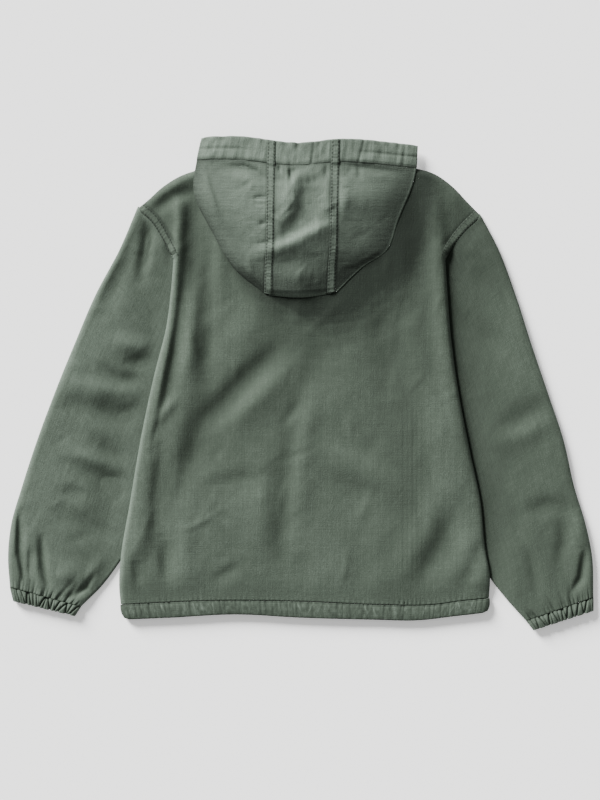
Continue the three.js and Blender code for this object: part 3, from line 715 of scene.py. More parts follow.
SLEEVE_CREASES = [
    Crease([(-238, 262), (-235, 236), (-241, 199), (-250, 160)], 9, 9, -3.4),
    Crease([(-268, 212), (-283, 166), (-301, 114)], 14, 14, -1.8),
    Crease([(-281, 244), (-300, 195), (-322, 140)], 16, 16, 1.6),
    Crease([(-275, 36), (-240, 28), (-222, 14)], 13, 10, -2.0),
    Crease([(-290, 66), (-255, 58), (-228, 52)], 14, 14, 2.0),
    Crease([(-317, 24), (-281, 6), (-239, 2)], 12, 14, -2.0),
    Crease([(-366, -29), (-327, -40), (-286, -50), (-244, -48)], 15, 18, -2.6),
    Crease([(-358, 0), (-305, -10), (-250, -16)], 14, 14, 1.6),
    Crease([(-358, -128), (-322, -144), (-286, -165), (-260, -170)], 14, 16, -2.6),
    Crease([(-352, -106), (-316, -118), (-270, -138)], 12, 12, 1.6),
    Crease([(-368, -166), (-332, -172)], 10, 14, -1.6),
    Crease([(-312, -93), (-265, -124)], 12, 14, -1.4),
    Crease([(-374, -200), (-336, -215), (-290, -245)], 15, 17, -1.6),
    Crease([(-436, -200), (-436, -262), (-428, -303), (-417, -320)], 8, 4, -3.6),
    Crease([(-419, -258), (-420, -292), (-415, -317)], 7, 4, -2.0),
    Crease([(-402, -240), (-398, -285), (-389, -323)], 6, 6, -3.8),
    Crease([(-378, -292), (-335, -300)], 20, 14, 2.0),
    Crease([(-370, -331), (-350, -329), (-332, -316), (-322, -298)], 6, 4, -1.8),
    Crease([(-308, -270), (-324, -292), (-342, -314)], 9, 9, 1.0),
    Crease([(309, -67), (345, -52), (381, -31)], 18, 20, -1.3),
    Crease([(303, -93), (350, -77), (386, -52)], 14, 16, 1.3),
    Crease([(350, -201), (381, -188), (417, -194)], 13, 16, -1.6),
    Crease([(404, -206), (407, -243), (399, -284)], 14, 10, -1.7),
    Crease([(438, -262), (433, -300), (420, -323)], 7, 5, -3.0),
    Crease([(427, -206), (433, -253)], 12, 12, 1.4),
    Crease([(252, 109), (283, 73), (319, 47)], 18, 20, -1.5),
    Crease([(262, 175), (300, 150), (334, 118)], 18, 20, -1.0),
    Crease([(352, -262), (362, -300), (368, -330)], 9, 9, -1.2),
    Crease([(330, -150), (352, -200), (362, -260)], 16, 16, 1.0),
]
HOOD_CREASES = [
    Crease([(-72, 200), (-44, 205), (-20, 214), (5, 228), (30, 238), (48, 244)], 8, 13, 3.8),
    Crease([(10, 302), (8, 270), (-10, 240), (-29, 221)], 22, 13, -5.0),
    Crease([(22, 327), (-5, 317), (-17, 297), (-27, 270)], 12, 10, 2.4),
    Crease([(35, 334), (41, 305), (42, 270)], 7, 8, 1.4),
    Crease([(-39, 184), (0, 188), (40, 196)], 14, 18, -2.8),
    Crease([(-39, 164), (0, 162), (36, 168)], 12, 12, 0.9),
    Crease([(-118, 334), (-89, 333), (-69, 326), (-52, 310)], 5, 9, -2.8),
    Crease([(-106, 322), (-76, 317), (-57, 300)], 8, 16, 1.8),
    Crease([(62, 337), (100, 333), (168, 324)], 4, 7, -2.6),
    Crease([(60, 282), (92, 286), (121, 287), (156, 292)], 26, 22, 4.0),
    Crease([(69, 319), (67, 280), (64, 255)], 9, 11, 1.8),
    Crease([(87, 334), (92, 318)], 4, 4, -1.8),
    Crease([(62, 180), (89, 186), (119, 203), (134, 214)], 4, 4, 1.5),
    Crease([(65, 172), (93, 178), (123, 196)], 5, 5, -1.7),
    Crease([(-131, 250), (-106, 226), (-84, 208)], 10, 13, -2.2),
    Crease([(-96, 186), (-79, 171), (-54, 142)], 5, 5, 1.7),
    Crease([(-103, 182), (-84, 162), (-64, 142)], 5, 5, -1.5),
    Crease([(-81, 193), (-76, 166)], 5, 5, 1.3),
    Crease([(-150, 331), (-141, 300), (-128, 262)], 4, 8, 2.2),
    Crease([(-74, 285), (-53, 285)], 3.5, 3.5, -1.6),
    Crease([(-71, 277), (-53, 275)], 3, 3, -0.9),
    Crease([(-64, 245), (-53, 246)], 3.5, 3.5, -1.2),
    Crease([(-68, 215), (-53, 217)], 3.5, 3.5, -1.0),
    Crease([(-34, 336), (-32, 324)], 3, 3, -1.6),
    Crease([(-17, 330), (-15, 312)], 3.5, 3.5, -2.2),
    Crease([(-10, 331), (-10, 318)], 3, 3, -1.4),
    Crease([(38, 336), (40, 318)], 4, 4, -1.3),
    Crease([(64, 300), (74, 299)], 3.5, 3.5, -1.0),
    Crease([(64, 330), (80, 322)], 4, 4, -1.2),
]
BODY_CREASES += small_creases(70, (-250, -320), (250, 250), 80, 70, 7, 0.45, 201)
SLEEVE_CREASES += small_creases(45, (-440, -320), (-210, 240), 10, 60, 7, 0.5, 203)
SLEEVE_CREASES += small_creases(30, (220, -320), (440, 220), 150, 70, 9, 0.35, 205)
HOOD_CREASES += small_creases(60, (-160, 150), (170, 335), 20, 32, 4, 0.55, 207)
HOOD_CREASES += small_creases(26, (-45, 150), (45, 335), 75, 40, 4, 0.6, 209)
print("creases", len(BODY_CREASES), len(SLEEVE_CREASES), len(HOOD_CREASES))

# %% [markdown]
# ## Heights
# The table is at zero. The sleeves lie flat on it, the front lies between them and over
# their inner parts, the back lies over the front, and the hood lies over the back. These
# sizes say how high the middle of each layer lies and how it turns over at its edges. A side
# roll is the share of the rise that turns quickly, then the widths of its two turns.
# %% Heights
ON_TABLE = 0.75
SLEEVE_PRESSED = 3.9
SLEEVE_LOFT = 10.4
ARMHOLE_LOFT = 8.2
BODY_LOFT = 12.6
BODY_FOLDS = 2.1
SLEEVE_FOLDS = 1.9
HOOD_FOLDS = 1.8
DEEPEST = 7.0
UNDER_HOOD_LOFT = 9.4
HEM_LOFT = 8.8
CUFF_LOFT = 9.0
BODY_LIFT = 5.0
SEAM_RISE = 2.3
SIDE_ROLL = {"left": (0.62, 8, 24), "right": (0.6, 8, 26)}
SHOULDER_ROLL = 13
ARMHOLE_SLOPE = 55
NECK_HALF_WIDTH = 88
UNDERARM_SHARE = 0.84
SLEEVE_REACH = (7, 47)
ARMPIT_FADES = (192, 250)


class Measured:
    """One side's curves, worked out from its table."""

    def __init__(self, side):
        def place(rows):
            return [(side.sign * out, up) for out, up in rows]

        self.name, self.sign, self.fades = side.name, side.sign, side.fades
        armhole_rows = side.armhole[::-1]
        self.edge = curve(place(side.edge))
        self.armhole = curve(place([*armhole_rows, side.tucked]))
        self.underarm = self.armhole.shares[len(armhole_rows) - 1]
        self.outer, self.inner = curve(place(side.outer)), curve(place(side.inner))
        self.cuff_outer, self.cuff_inner = np.array(place([side.cuff_outer, side.cuff_inner]))
        outs, ups = np.array(side.edge, float).T
        self.edge_out = spline(ups, outs)
        self.foot = np.array([*side.inner[:-2][::-1], *side.armhole], float)

    def foot_out(self, up):
        return np.interp(up, self.foot[:, 1], self.foot[:, 0])

    def body_edge(self, v):
        """The body's border from the hem, past the underarm, to the shoulder point."""
        above = (v - UNDERARM_SHARE) / (1 - UNDERARM_SHARE)
        low = self.edge(np.minimum(v / UNDERARM_SHARE, 1.0))
        high = self.armhole(self.underarm * (1 - np.clip(above, 0, 1)))
        return np.where(np.asarray(v <= UNDERARM_SHARE)[..., None], low, high)

    def armhole_height(self, share):
        pressed = smooth(self.underarm * 0.6, self.underarm * 0.92, share)
        return mix(ARMHOLE_LOFT, SLEEVE_PRESSED, pressed)


left, right = Measured(left_side), Measured(right_side)
shoulder, hem_seam, hem_edge = curve(SHOULDER_LINE), curve(HEM_SEAM_LINE), curve(HEM_EDGE_LINE)
body_border = {
    "low": hem_seam, "high": shoulder, "left": left.body_edge, "right": right.body_edge,
}


def front_lift(x, y):
    """How far the front is lifted where a sleeve's inner part lies under it."""
    lifts = []
    for side in (left, right):
        inside = side.foot_out(y) - np.abs(x)
        over_sleeve = 1 - smooth(*SLEEVE_REACH, inside)
        lifts.append(over_sleeve * smooth(*side.fades, y) * (1 - smooth(*ARMPIT_FADES, y)))
    return BODY_LIFT * np.where(x < 0, *lifts)


print("underarm shares", round(left.underarm, 3), round(right.underarm, 3))

# %% [markdown]
# ## The back
# One panel that rolls down at both sides to its fold, is drawn up to the armhole seams
# beside the shoulders, and keeps the largest creases of all. Small puckers stand square to
# the hem seam and the armhole seams, because the sewing there is tighter than the cloth.
# Faint pressed lines run down its right side, and the hood's soft shadow is painted on it
# below and to the right of the hood.
# %% Back
HOOD_TIP = (0, 131)
HOOD_SHADOW_STEPS = [(0, 1.0), (16, 1.0), (32, 1.0), (50, 0.9), (68, 0.8), (88, 0.6), (110, 0.4), (134, 0.25)]
SHADE_RUNS = [(0.8, 0.6), (0.4, 0.9)]


def hood_cover(x, y):
    """1 where the hood lies on the back, 0 where it doesn't."""
    left_x, left_y = np.array([*HOOD_LEFT_EDGE, HOOD_TIP], float)[::-1].T
    right_x, right_y = np.array([*HOOD_RIGHT_EDGE, HOOD_TIP], float)[::-1].T
    inside = np.minimum(x - np.interp(y, left_y, left_x), np.interp(y, right_y, right_x) - x)
    return smooth(-4, 15, np.where(y > HOOD_TIP[1], inside, -99))


def painted_hood_shadow(x, y):
    """Painted shadow of the hood on the back: how much of the hood lies towards the upper left."""
    total = 0
    for away, share in HOOD_SHADOW_STEPS:
        for right_run, down_run in SHADE_RUNS:
            total = total + share * hood_cover(x - right_run * away, y + down_run * away)
    return total / (len(SHADE_RUNS) * sum(share for _, share in HOOD_SHADOW_STEPS))


def side_turn(side, away):
    """How far the back has risen from its fold: a quick turn, then a long soft slope."""
    share, quick, slow = SIDE_ROLL[side.name]
    return share * roll(away / quick) + (1 - share) * np.sin(np.pi / 2 * np.clip(away / slow, 0, 1))


def back_height(u, v, x, y, width, to_hem, to_shoulder):
    """The height of the middle of the back's cloth."""
    under_hood = hood_cover(x, y)
    folds = drape(BODY_CREASES, x, y, BODY_FOLDS, DEEPEST) + rumple(x, y, 11) * smooth(4, 40, to_hem)
    loft = mix(BODY_LOFT + front_lift(x, y) * 0.75 + folds, UNDER_HOOD_LOFT, under_hood)
    loft = mix(HEM_LOFT + (loft - BODY_LOFT) * 0.12, loft, smooth(0, 48, to_hem))
    above = (v - UNDERARM_SHARE) / (1 - UNDERARM_SHARE)
    drops = []
    for side, away in ((left, u * width), (right, (1 - u) * width)):
        folded = SEAM_RISE + front_lift(x, y)
        low = mix(folded, loft, side_turn(side, away))
        sewn = np.maximum(side.armhole_height(side.underarm * (1 - above)), folded)
        turn = mix(side_turn(side, away), smooth(0, ARMHOLE_SLOPE, away), smooth(0, 0.5, above))
        seam_run = above * side.armhole.total * side.underarm
        gathers = puckers(seam_run, away - 4, 4.6, 9, 21) * 0.16 * smooth(0, 0.1, above)
        kept_folds = folds * (1 - under_hood) * np.maximum(smooth(4, 20, away) - turn, 0)
        upper = np.maximum(mix(sewn, loft, turn) + kept_folds, folded) + gathers
        drops.append(np.where(v <= UNDERARM_SHARE, low, upper))
    draped = np.where(u < 0.5, *drops)
    rolled = mix(SEAM_RISE, draped, roll(to_shoulder / SHOULDER_ROLL))
    draped = mix(draped, rolled, smooth(NECK_HALF_WIDTH, NECK_HALF_WIDTH + 25, np.abs(x)))
    gathers = puckers(x, to_hem, 7.4, 9, 31) * 0.4 * smooth(0, 1.5, to_hem)
    return draped + gathers * smooth(0, 25, np.minimum(u, 1 - u) * width)


def back_points(u, v):
    """Points of the middle of the back's cloth, and how wide and how tall it is there."""
    x, y = patch(body_border, u, v)
    width = body_border["right"](v)[..., 0] - body_border["left"](v)[..., 0]
    tall = body_border["high"](u)[..., 1] - body_border["low"](u)[..., 1]
    z = back_height(u, v, x, y, width, v * tall, (1 - v) * tall)
    return np.stack([x, y, z], axis=-1), width, tall


BACK_WIDTH, BACK_HEIGHT = 570.0, 671.0
NEAR_SIDE = [0.3, 1.2, 2.4, 4, 6, 8.5, 11.5, 15]
PRESSED_LINES = [(156.6, 0.22), (164.3, 0.16), (172.0, 0.24), (178.3, 0.15), (186.0, 0.18)]


def back_wear_and_shading(grid, u, v, width, tall):
    """Pale folds and ridges, partly painted light; pressed lines; painted shade at the seams, in troughs
    and from the hood; paler towards the hem.
    """
    x, y, z = grid[..., 0], grid[..., 1], grid[..., 2]
    side_away = np.minimum(u, 1 - u) * width
    # Side fold edges paler, most on the lit left side, and troughs darker than ridges: wear with painted
    # light and shade.
    wear_and_shading = np.where(u < 0.5, 0.66, 0.42) * hill(side_away, 5) + 0.025 * (z - BODY_LOFT)
    for line, depth in PRESSED_LINES:
        wear_and_shading -= depth * hill(x - line, 1.5) * smooth(-316, -290, y) * smooth(0, -60, y)
    # The hem puckers painted light on their ridges and dark between them, and painted shade along the hem
    # seam.
    wear_and_shading += puckers(x, v * tall, 7.4, 7, 31) * 0.35 - 0.45 * hill(v * tall, 1.6)
    # Painted shade: the hood's shadow, and a soft dark band down the back's right side.
    wear_and_shading -= 2.0 * painted_hood_shadow(x, y) + 0.18 * hill(x - 160, 45)
    wear_and_shading += 0.14 * smooth(-80, -260, y)
    # Beside the armhole seams: gathers painted light and shade, and painted shade along the seam strip's
    # edge.
    above_arm = (v > UNDERARM_SHARE) * smooth(0, 0.05, v - UNDERARM_SHARE)
    gathers = puckers(v * BACK_HEIGHT, side_away - 6, 4.6, 9, 21)
    wear_and_shading += above_arm * (gathers * 0.25 - 0.6 * hill(side_away - 12.5, 2.2))
    return np.clip(wear_and_shading, -1, 1)

# The columns lie closer together where the pressed lines run
back_columns = shares(BACK_WIDTH, NEAR_SIDE, NEAR_SIDE, 222)
back_columns = np.union1d(back_columns, np.linspace(0.745, 0.835, 42))
back_rows = shares(BACK_HEIGHT, [0.3, 1.5, 3, 5, 7.5], [0, 1.2, 2.5, 4.2, 6.5, 9.5], 270)
u, v = np.meshgrid(back_columns, back_rows)
grid, width, tall = back_points(u, v)
wear_and_shading = back_wear_and_shading(grid, u, v, width, tall)
back = shell("back_cloth", grid, body_twill, grid[..., :2], wear_and_shading, facing="up")

# %% [markdown]
# ## The front
# It lies on the table under everything else, so it shows only from below. It is finished
# plainly: flat, with the same weave, and lifted at the sides by the sleeves beneath it.
# %% Front
front_columns = shares(BACK_WIDTH, [1.0, 4, 8, 14], [1.0, 4, 8, 14], 96)
front_rows = np.concatenate(
    [shares(1000 * UNDERARM_SHARE, [0.4], [0], 80) * UNDERARM_SHARE,
     np.linspace(UNDERARM_SHARE, 1, 24)[1:]]
)
u, v = np.meshgrid(front_columns, front_rows)
x, y = patch(body_border, u, v)
inset = smooth(0.97, 1.0, v)
raised = crease_height(FRONT_CREASES, x, y) * smooth(0, 30, np.minimum(u, 1 - u) * BACK_WIDTH)
grid = np.stack([x, y - inset, ON_TABLE + front_lift(x, y) + raised], axis=-1)
front = shell("front_cloth", grid, body_twill, grid[..., :2], 0.0, facing="up", step=1)

# %% [markdown]
# ## Tubes
# Sleeves, cuffs and hem are flattened tubes: their columns run over the top from one edge to
# the other and back underneath. The cloth turns over at both edges in a half circle.
# %% Tube columns
def tube_columns(over, under):
    """Shares across the tube and whether each column is on top, all the way round."""
    top = (1 - np.cos(np.pi * np.arange(over + 1) / over)) / 2
    top = mix(top, np.linspace(0, 1, over + 1), 0.6)
    bottom = (1 + np.cos(np.pi * np.arange(1, under) / under)) / 2
    return np.concatenate([top, bottom]), np.arange(over + under) <= over


def tube_height(s, is_top, width, top, bottom):
    turned = roll(np.minimum(s, 1 - s) * width / np.maximum(top - bottom, 1))
    return mix((top + bottom) / 2, np.where(is_top, top, bottom), turned)

# %% [markdown]
# ## Sleeves
# The sleeves come out from under the body and are gathered into their cuffs. The gathers
# are deep at the seam and die out at different lengths up the sleeve.
# %% Sleeves
GATHERS = 10
SLEEVE_RISE = {"left": (2, 95), "right": (0, 44)}


def gathers_at(s, to_cuff, seed):
    """Gathers above a cuff: a few deep ones and many slight ones, from 15 to 60 mm long."""
    rng = np.random.default_rng(seed)
    reach = 22 + 22 * noise(s * 8, to_cuff * 0 + 2.5, seed + 1)
    deep = slits(s, GATHERS, to_cuff * 0.03, seed + 2, 0.24, 0.05)
    slight = slits(s, GATHERS * 2.4, to_cuff * 0.04, seed + 3, 0.2, 0.1)
    return 0.45 * deep * hill(to_cuff, reach) + 0.4 * slight * hill(to_cuff, 12)


def tuck_under(grid, flat, wear_and_shading, reach=6.0, drop=1.7):
    """Adds a first row that runs on under its neighbour, so no light comes through the seam."""
    away = grid[0] - grid[4]
    away[:, 2] = 0
    away /= np.maximum(np.linalg.norm(away, axis=1, keepdims=True), 1e-9)
    first = grid[0] + away * reach
    first[:, 2] = np.maximum(grid[0][:, 2] - drop, ON_TABLE)
    flat_first = flat[0] - (0, reach)
    return (np.concatenate([first[None], grid]), np.concatenate([flat_first[None], flat]),
            np.concatenate([wear_and_shading[:1], wear_and_shading]))


def sleeve_grid(side, seed):
    s_row, is_top = tube_columns(126, 44)
    w_column = shares(1000, [1.0, 4, 8], [0, 2, 5, 9], 216)
    s, w = np.meshgrid(s_row, w_column)
    outer_end, inner_end = side.outer(1.0), side.inner(1.0)
    border = {
        "low": side.armhole,
        "high": lambda share: mix(outer_end, inner_end, np.asarray(share)[..., None]),
        "left": side.outer,
        "right": side.inner,
    }
    x, y = patch(border, s, w)
    width = np.linalg.norm(side.outer(w) - side.inner(w), axis=-1)
    to_cuff = (1 - w) * side.outer.total
    beside = np.maximum(np.abs(x) - side.edge_out(y), 0)
    folds = drape(SLEEVE_CREASES, x, y, SLEEVE_FOLDS, DEEPEST - 1) + rumple(x, y, seed) * 0.9
    pressed = SLEEVE_PRESSED + (1.8 * smooth(0.8, 6, beside) if side is right else 0)
    top = mix(pressed, SLEEVE_LOFT, smooth(*SLEEVE_RISE[side.name], beside))
    top = mix(side.armhole_height(s), top, smooth(0, 0.045, w))
    top = np.maximum(top + folds * smooth(2, 34, beside) * smooth(0, 0.02, w), SLEEVE_PRESSED - 1.0)
    gathers = gathers_at(s, to_cuff, seed + 10)
    top = mix(top, CUFF_LOFT + 1.8, smooth(40, 0, to_cuff) * 0.6)
    top -= gathers * 5.0 * smooth(0, 8, s * width)
    z = tube_height(s, is_top, width, top, ON_TABLE)
    flat = np.stack([s * width, w * side.outer.total], axis=-1)
    # Lower cloth and the gathers' hollows painted darker as shade; the folded edges paler; a dark line at
    # the cuff.
    wear_and_shading = 0.03 * (top - SLEEVE_LOFT) - 0.2 * gathers
    wear_and_shading += 0.25 * hill(np.minimum(s, 1 - s) * width, 4)
    wear_and_shading -= 0.5 * hill(to_cuff, 1.8)
    # Painted shadow of the body's edge on the right sleeve, and painted shade on its upper part by the
    # armhole; the left sleeve is painted lighter beside the body, where its slope turns from the lamp, and
    # paler all over.
    shaded = hill(beside, 40) * smooth(-330, -200, y)
    if side is right:
        wear_and_shading -= 0.5 * shaded + 0.25 * smooth(110, 220, y)
    else:
        wear_and_shading += 0.16 * shaded + 0.24
    grid = np.stack([x, y, z], axis=-1)
    return tuck_under(grid, flat, np.clip(np.where(is_top, wear_and_shading, 0), -1, 1))


sleeves = {}
for side, seed in ((left, 41), (right, 61)):
    grid, flat, wear_and_shading = sleeve_grid(side, seed)
    sleeves[side.name] = shell(f"sleeve_{side.name}_cloth", grid, body_twill, flat, wear_and_shading, ring=True)

# %% [markdown]
# ## Cuffs
# A band of elastic pulls each cuff together, so its doubled cloth stands in fifteen tight
# pleats with dark gaps between them. They lean a little and none is like the next.
# %% Cuffs
DOUBLED = 1.7
CUFF_PLEATS = 15
# Each gap: its place across the cuff from 0 to 1, its depth, and its lean
CUFF_GAPS = {
    "left": [(.06, .3, .0), (.10, .45, .03), (.18, .5, .05), (.235, .9, -.02), (.28, .75, .02),
             (.33, .5, .0), (.385, .3, .02), (.46, 1., -.09), (.50, .7, -.05), (.565, 1., .05),
             (.61, .6, -.01), (.69, .8, -.06), (.765, .95, -.10), (.83, 1., .03), (.88, .6, -.02),
             (.94, 1., -.07)],
    "right": [(.05, .3, .0), (.12, 1., .05), (.17, .6, -.02), (.25, 1., .06), (.33, .9, .0),
              (.41, 1., .05), (.45, .5, -.03), (.49, .7, .02), (.55, .4, .0), (.60, .7, -.04),
              (.66, .4, .02), (.70, 1., .05), (.76, .4, .0), (.81, .8, -.03), (.89, .7, .04),
              (.95, .5, .0)],
}


def gaps_between_pleats(s, w, marks):
    total = np.zeros(s.shape)
    for share, deep, lean in marks:
        total += deep * hill(s - share - lean * (w - 0.5), 0.008 + 0.007 * deep)
    return np.minimum(total, 1)


def cuff_grid(side, seed):
    s_row, is_top = tube_columns(180, 45)
    s, w = np.meshgrid(s_row, np.linspace(0.02, 1, 19))
    outer_end, inner_end = side.outer(1.0), side.inner(1.0)
    start = mix(outer_end, inner_end, s[..., None])
    end = mix(side.cuff_outer, side.cuff_inner, s[..., None])
    width = np.linalg.norm(side.cuff_outer - side.cuff_inner)
    place = mix(start, end, w[..., None])
    below = slits(s, CUFF_PLEATS, w - 0.5, seed, 0.2, 0.35)
    pleats = 1 - np.where(is_top, gaps_between_pleats(s, w, CUFF_GAPS[side.name]), below)
    belly = np.sin(np.pi * np.clip(w * 0.9 + 0.05, 0, 1))
    fine = slits(s, CUFF_PLEATS * 2.3, w - 0.5, seed + 1, 0.16, 0.0)
    top = CUFF_LOFT - 2.4 + 4.2 * pleats * (0.6 + 0.4 * belly) - 0.8 * fine + 0.6 * belly
    bottom = 1.0 + 0.5 * np.where(is_top, 0, pleats)
    z = tube_height(s, is_top, width, top, bottom)
    along = end - start
    frill = 1.6 * (pleats - 0.5) * np.where(is_top, 1, 0.5) * smooth(0.55, 1, w)
    place = place + along / np.linalg.norm(along, axis=-1, keepdims=True) * frill[..., None]
    # Pleats painted pale and the gaps between them painted dark, as light and shade; paler at the cuff's
    # end and darker where it joins the sleeve.
    wear_and_shading = 0.95 * pleats - 0.75 + 0.3 * smooth(0.8, 1, w) - 0.5 * hill(w, 0.07)
    flat = np.stack([s * width * 1.3, w * np.linalg.norm(along, axis=-1)], axis=-1)
    grid = np.concatenate([place, z[..., None]], axis=-1)
    return grid, flat, np.clip(wear_and_shading, -1, 1)


cuffs = {}
for side, seed in ((left, 81), (right, 91)):
    grid, flat, wear_and_shading = cuff_grid(side, seed)
    cuffs[side.name] = shell(f"cuff_{side.name}_cloth", grid, edge_twill, flat, wear_and_shading, DOUBLED, ring=True)

# %% [markdown]
# ## Hem
# The hem is a doubled casing for a cord. Washing has shrunk its seam, which raises a row of
# small slanting puckers: their ridges are painted pale and the cloth between them painted
# dark, as light and shade.
# %% Hem
HEM_PUCKERS = 48
s_row, is_top = tube_columns(480, 90)
s, w = np.meshgrid(s_row, np.linspace(0.02, 1, 15))
place = mix(hem_seam(s), hem_edge(s), w[..., None])
near_seam = hill(w, 0.55)
ridges = 1 - slits(s, HEM_PUCKERS * 1.5, (w - 0.5) * 0.5, 103, 0.15, 0.0) * (0.35 + 0.65 * near_seam)
scuffs = slits(s, HEM_PUCKERS * 0.8, (w - 0.5) * 2.6, 105, 0.05, 0.0) * smooth(1.0, 0.5, w)
belly = np.sin(np.pi * np.clip(w, 0, 1)) ** 0.7
top = HEM_LOFT + 0.75 * (ridges - 1) + 0.12 * noise(s * 150, w * 3, 109) + 0.3 * scuffs + 1.1 * belly
top -= 0.8 * hill(w - 0.06, 0.05)
z = tube_height(s, is_top, hem_edge.total, top, 1.0)
from_end = np.minimum(s, 1 - s) * hem_edge.total
outwards = np.where(s < 0.5, -1, 1)
place[..., 0] += outwards * 1.8 * np.sin(np.pi * w) * hill(from_end, 12)
place[..., 1] += 2.4 * hill(from_end, 5) * smooth(0.5, 1, w)
place[..., 1] -= 0.5 * (ridges - 0.8) * smooth(0.6, 1, w)
spots = smooth(0.1, 0.6, noise(s * 95, w * 2.0, 107))
# Painted light and shade of the puckers and a painted dark groove by the seam; the pale scuffs and specks
# are wear.
hem_wear_and_shading = (ridges - 1) * 0.55 + 0.7 * scuffs + 0.3 * noise(s * 170, w * 4, 111)
hem_wear_and_shading += (0.3 * spots - 0.1) * smooth(0.8, 1, w) - 0.6 * hill(w - 0.07, 0.06)
flat = np.stack([s * hem_edge.total, w * 24.0], axis=-1)
grid = np.concatenate([place, z[..., None]], axis=-1)
hem = shell("hem_cloth", grid, edge_twill, flat, np.clip(hem_wear_and_shading, -1, 1), DOUBLED, ring=True)

# %% [markdown]
# ## The hood's form
# The hood is a flattened bag that is open towards the top of the picture. Its upper and its
# under layer come from one function: u runs from its left edge to its right one, v from the
# opening to the crown. Each is high in the middle and turns over at the sides and crown.
# %% Hood form
HOOD_UNDER_LOFT = 11.5
HOOD_UNDER_AT_MOUTH = 9.0
HOOD_EDGE_RISE = 2.7
HOOD_LOFT = 38.0
HOOD_LOFT_AT_MOUTH = 25.0
HOOD_SIDE_SLOPE = 120
HOOD_CROWN_SLOPE = 150
HOOD_UNDER_ROLL = 10
CASING_SHARE = 0.128
NAPE_SHARE = 0.19
SEAM_AT_EDGE = {"left": -46, "right": 53}
SEAM_AT_CROWN = {"left": -50, "right": 47}
SEAM_WIDTH = 12
SEAM_HALF = SEAM_WIDTH / 2
HOOD_MOUTH = HOOD_OPENING[-1][0] - HOOD_OPENING[0][0]
HOOD_PALE = 0.12
HOOD_TUCK = (2.2, 1.5)

hood_border = {
    "low": curve(HOOD_OPENING), "high": curve(HOOD_CROWN),
    "left": curve(HOOD_LEFT_EDGE), "right": curve(HOOD_RIGHT_EDGE),
}
hood_depth = HOOD_OPENING[2][1] - HOOD_CROWN[1][1]


def hood_span(v):
    """The x of the hood's left and right edge at v."""
    return hood_border["left"](v)[..., 0], hood_border["right"](v)[..., 0]


def seam_x(which, v):
    return mix(SEAM_AT_EDGE[which], SEAM_AT_CROWN[which], v) + 1.2 * noise(np.asarray(v) * 5, 0.5, 7)


def dome(share, early=0.36, quick=5):
    """A rise that turns up at once, then slopes on as far as a share of 1."""
    first = np.sin(np.pi / 2 * np.clip(share * quick, 0, 1))
    return early * first + (1 - early) * np.sin(np.pi / 2 * np.clip(share, 0, 1))


def hood_surface(u, v, is_upper):
    """Points of the middle of the hood's cloth."""
    u, v = np.broadcast_arrays(np.asarray(u, float), np.asarray(v, float))
    x, y = patch(hood_border, u, v)
    left_x, right_x = hood_span(v)
    mouth_y, crown_y = hood_border["low"](u)[..., 1], hood_border["high"](u)[..., 1]
    from_side = np.minimum(u, 1 - u) * (right_x - left_x)
    from_crown = (1 - v) * (mouth_y - crown_y)
    under = mix(HOOD_UNDER_LOFT, HOOD_UNDER_AT_MOUTH, smooth(348, 385, y))
    edge = under + HOOD_EDGE_RISE * (1 - 0.45 * smooth(0.5, 0.85, u))
    turned = roll(from_side / HOOD_UNDER_ROLL) * roll(from_crown / HOOD_UNDER_ROLL)
    low = mix(edge, under, turned)
    folds = drape(HOOD_CREASES, x, y, HOOD_FOLDS, 9) * smooth(0, 14, from_side) + rumple(x, y, 111) * 0.7
    folds = folds + noise(x / 8, y / 9, 115) * 0.22 + noise(x / 5, y / 6, 117) * 0.12
    for which in ("left", "right"):
        away = np.abs(x - seam_x(which, v))
        folds = folds + puckers(y, away, 5.2, 8, 121) * 0.22 - 0.5 * hill(away, 9)
    loft = mix(HOOD_LOFT_AT_MOUTH, HOOD_LOFT, smooth(0, 0.4, v)) + folds
    to_right = smooth(0.2, 0.8, u)
    sides = dome(from_side / (HOOD_SIDE_SLOPE + 70 * to_right), 0.36 - 0.26 * to_right)
    turned = sides * dome(from_crown / HOOD_CROWN_SLOPE, 0.42, 10)
    high = mix(edge, loft, turned)
    return np.stack([x, y, np.where(is_upper, high, low)], axis=-1)


def hood_share(x, v):
    left_x, right_x = hood_span(v)
    return (x - left_x) / (right_x - left_x)


hood_rows = mix(CASING_SHARE + 0.3 / hood_depth, 1 - 2.5 / hood_depth,
                np.sin(np.pi / 2 * np.linspace(0, 1, 118) ** 1.05))
print("hood depth", hood_depth, "rows", len(hood_rows))

# %% [markdown]
# ## Side panels of the hood
# Each begins at its felled seam, runs to the hood's edge, turns round it and runs back
# underneath. Near the opening it stops short below, because the neck hole is there. Its weft
# runs across the hood, so its weave lies sideways to the centre panel's. One more row runs on
# beneath the casing, so that no light comes through between them.
# %% Hood sides
def casing_shade(v):
    """A narrow line of painted shade on the panels, just below the stitched edge of the casing."""
    return hill((v - CASING_SHARE) * hood_depth, 1.8)


def seam_shading(y, from_seam):
    """Painted light and shade of small gathers beside a hood seam, and painted shade along its strip."""
    return puckers(y, from_seam, 6.5, 7, 121) * 0.3 - 0.5 * hill(from_seam - 6.5, 1.6)


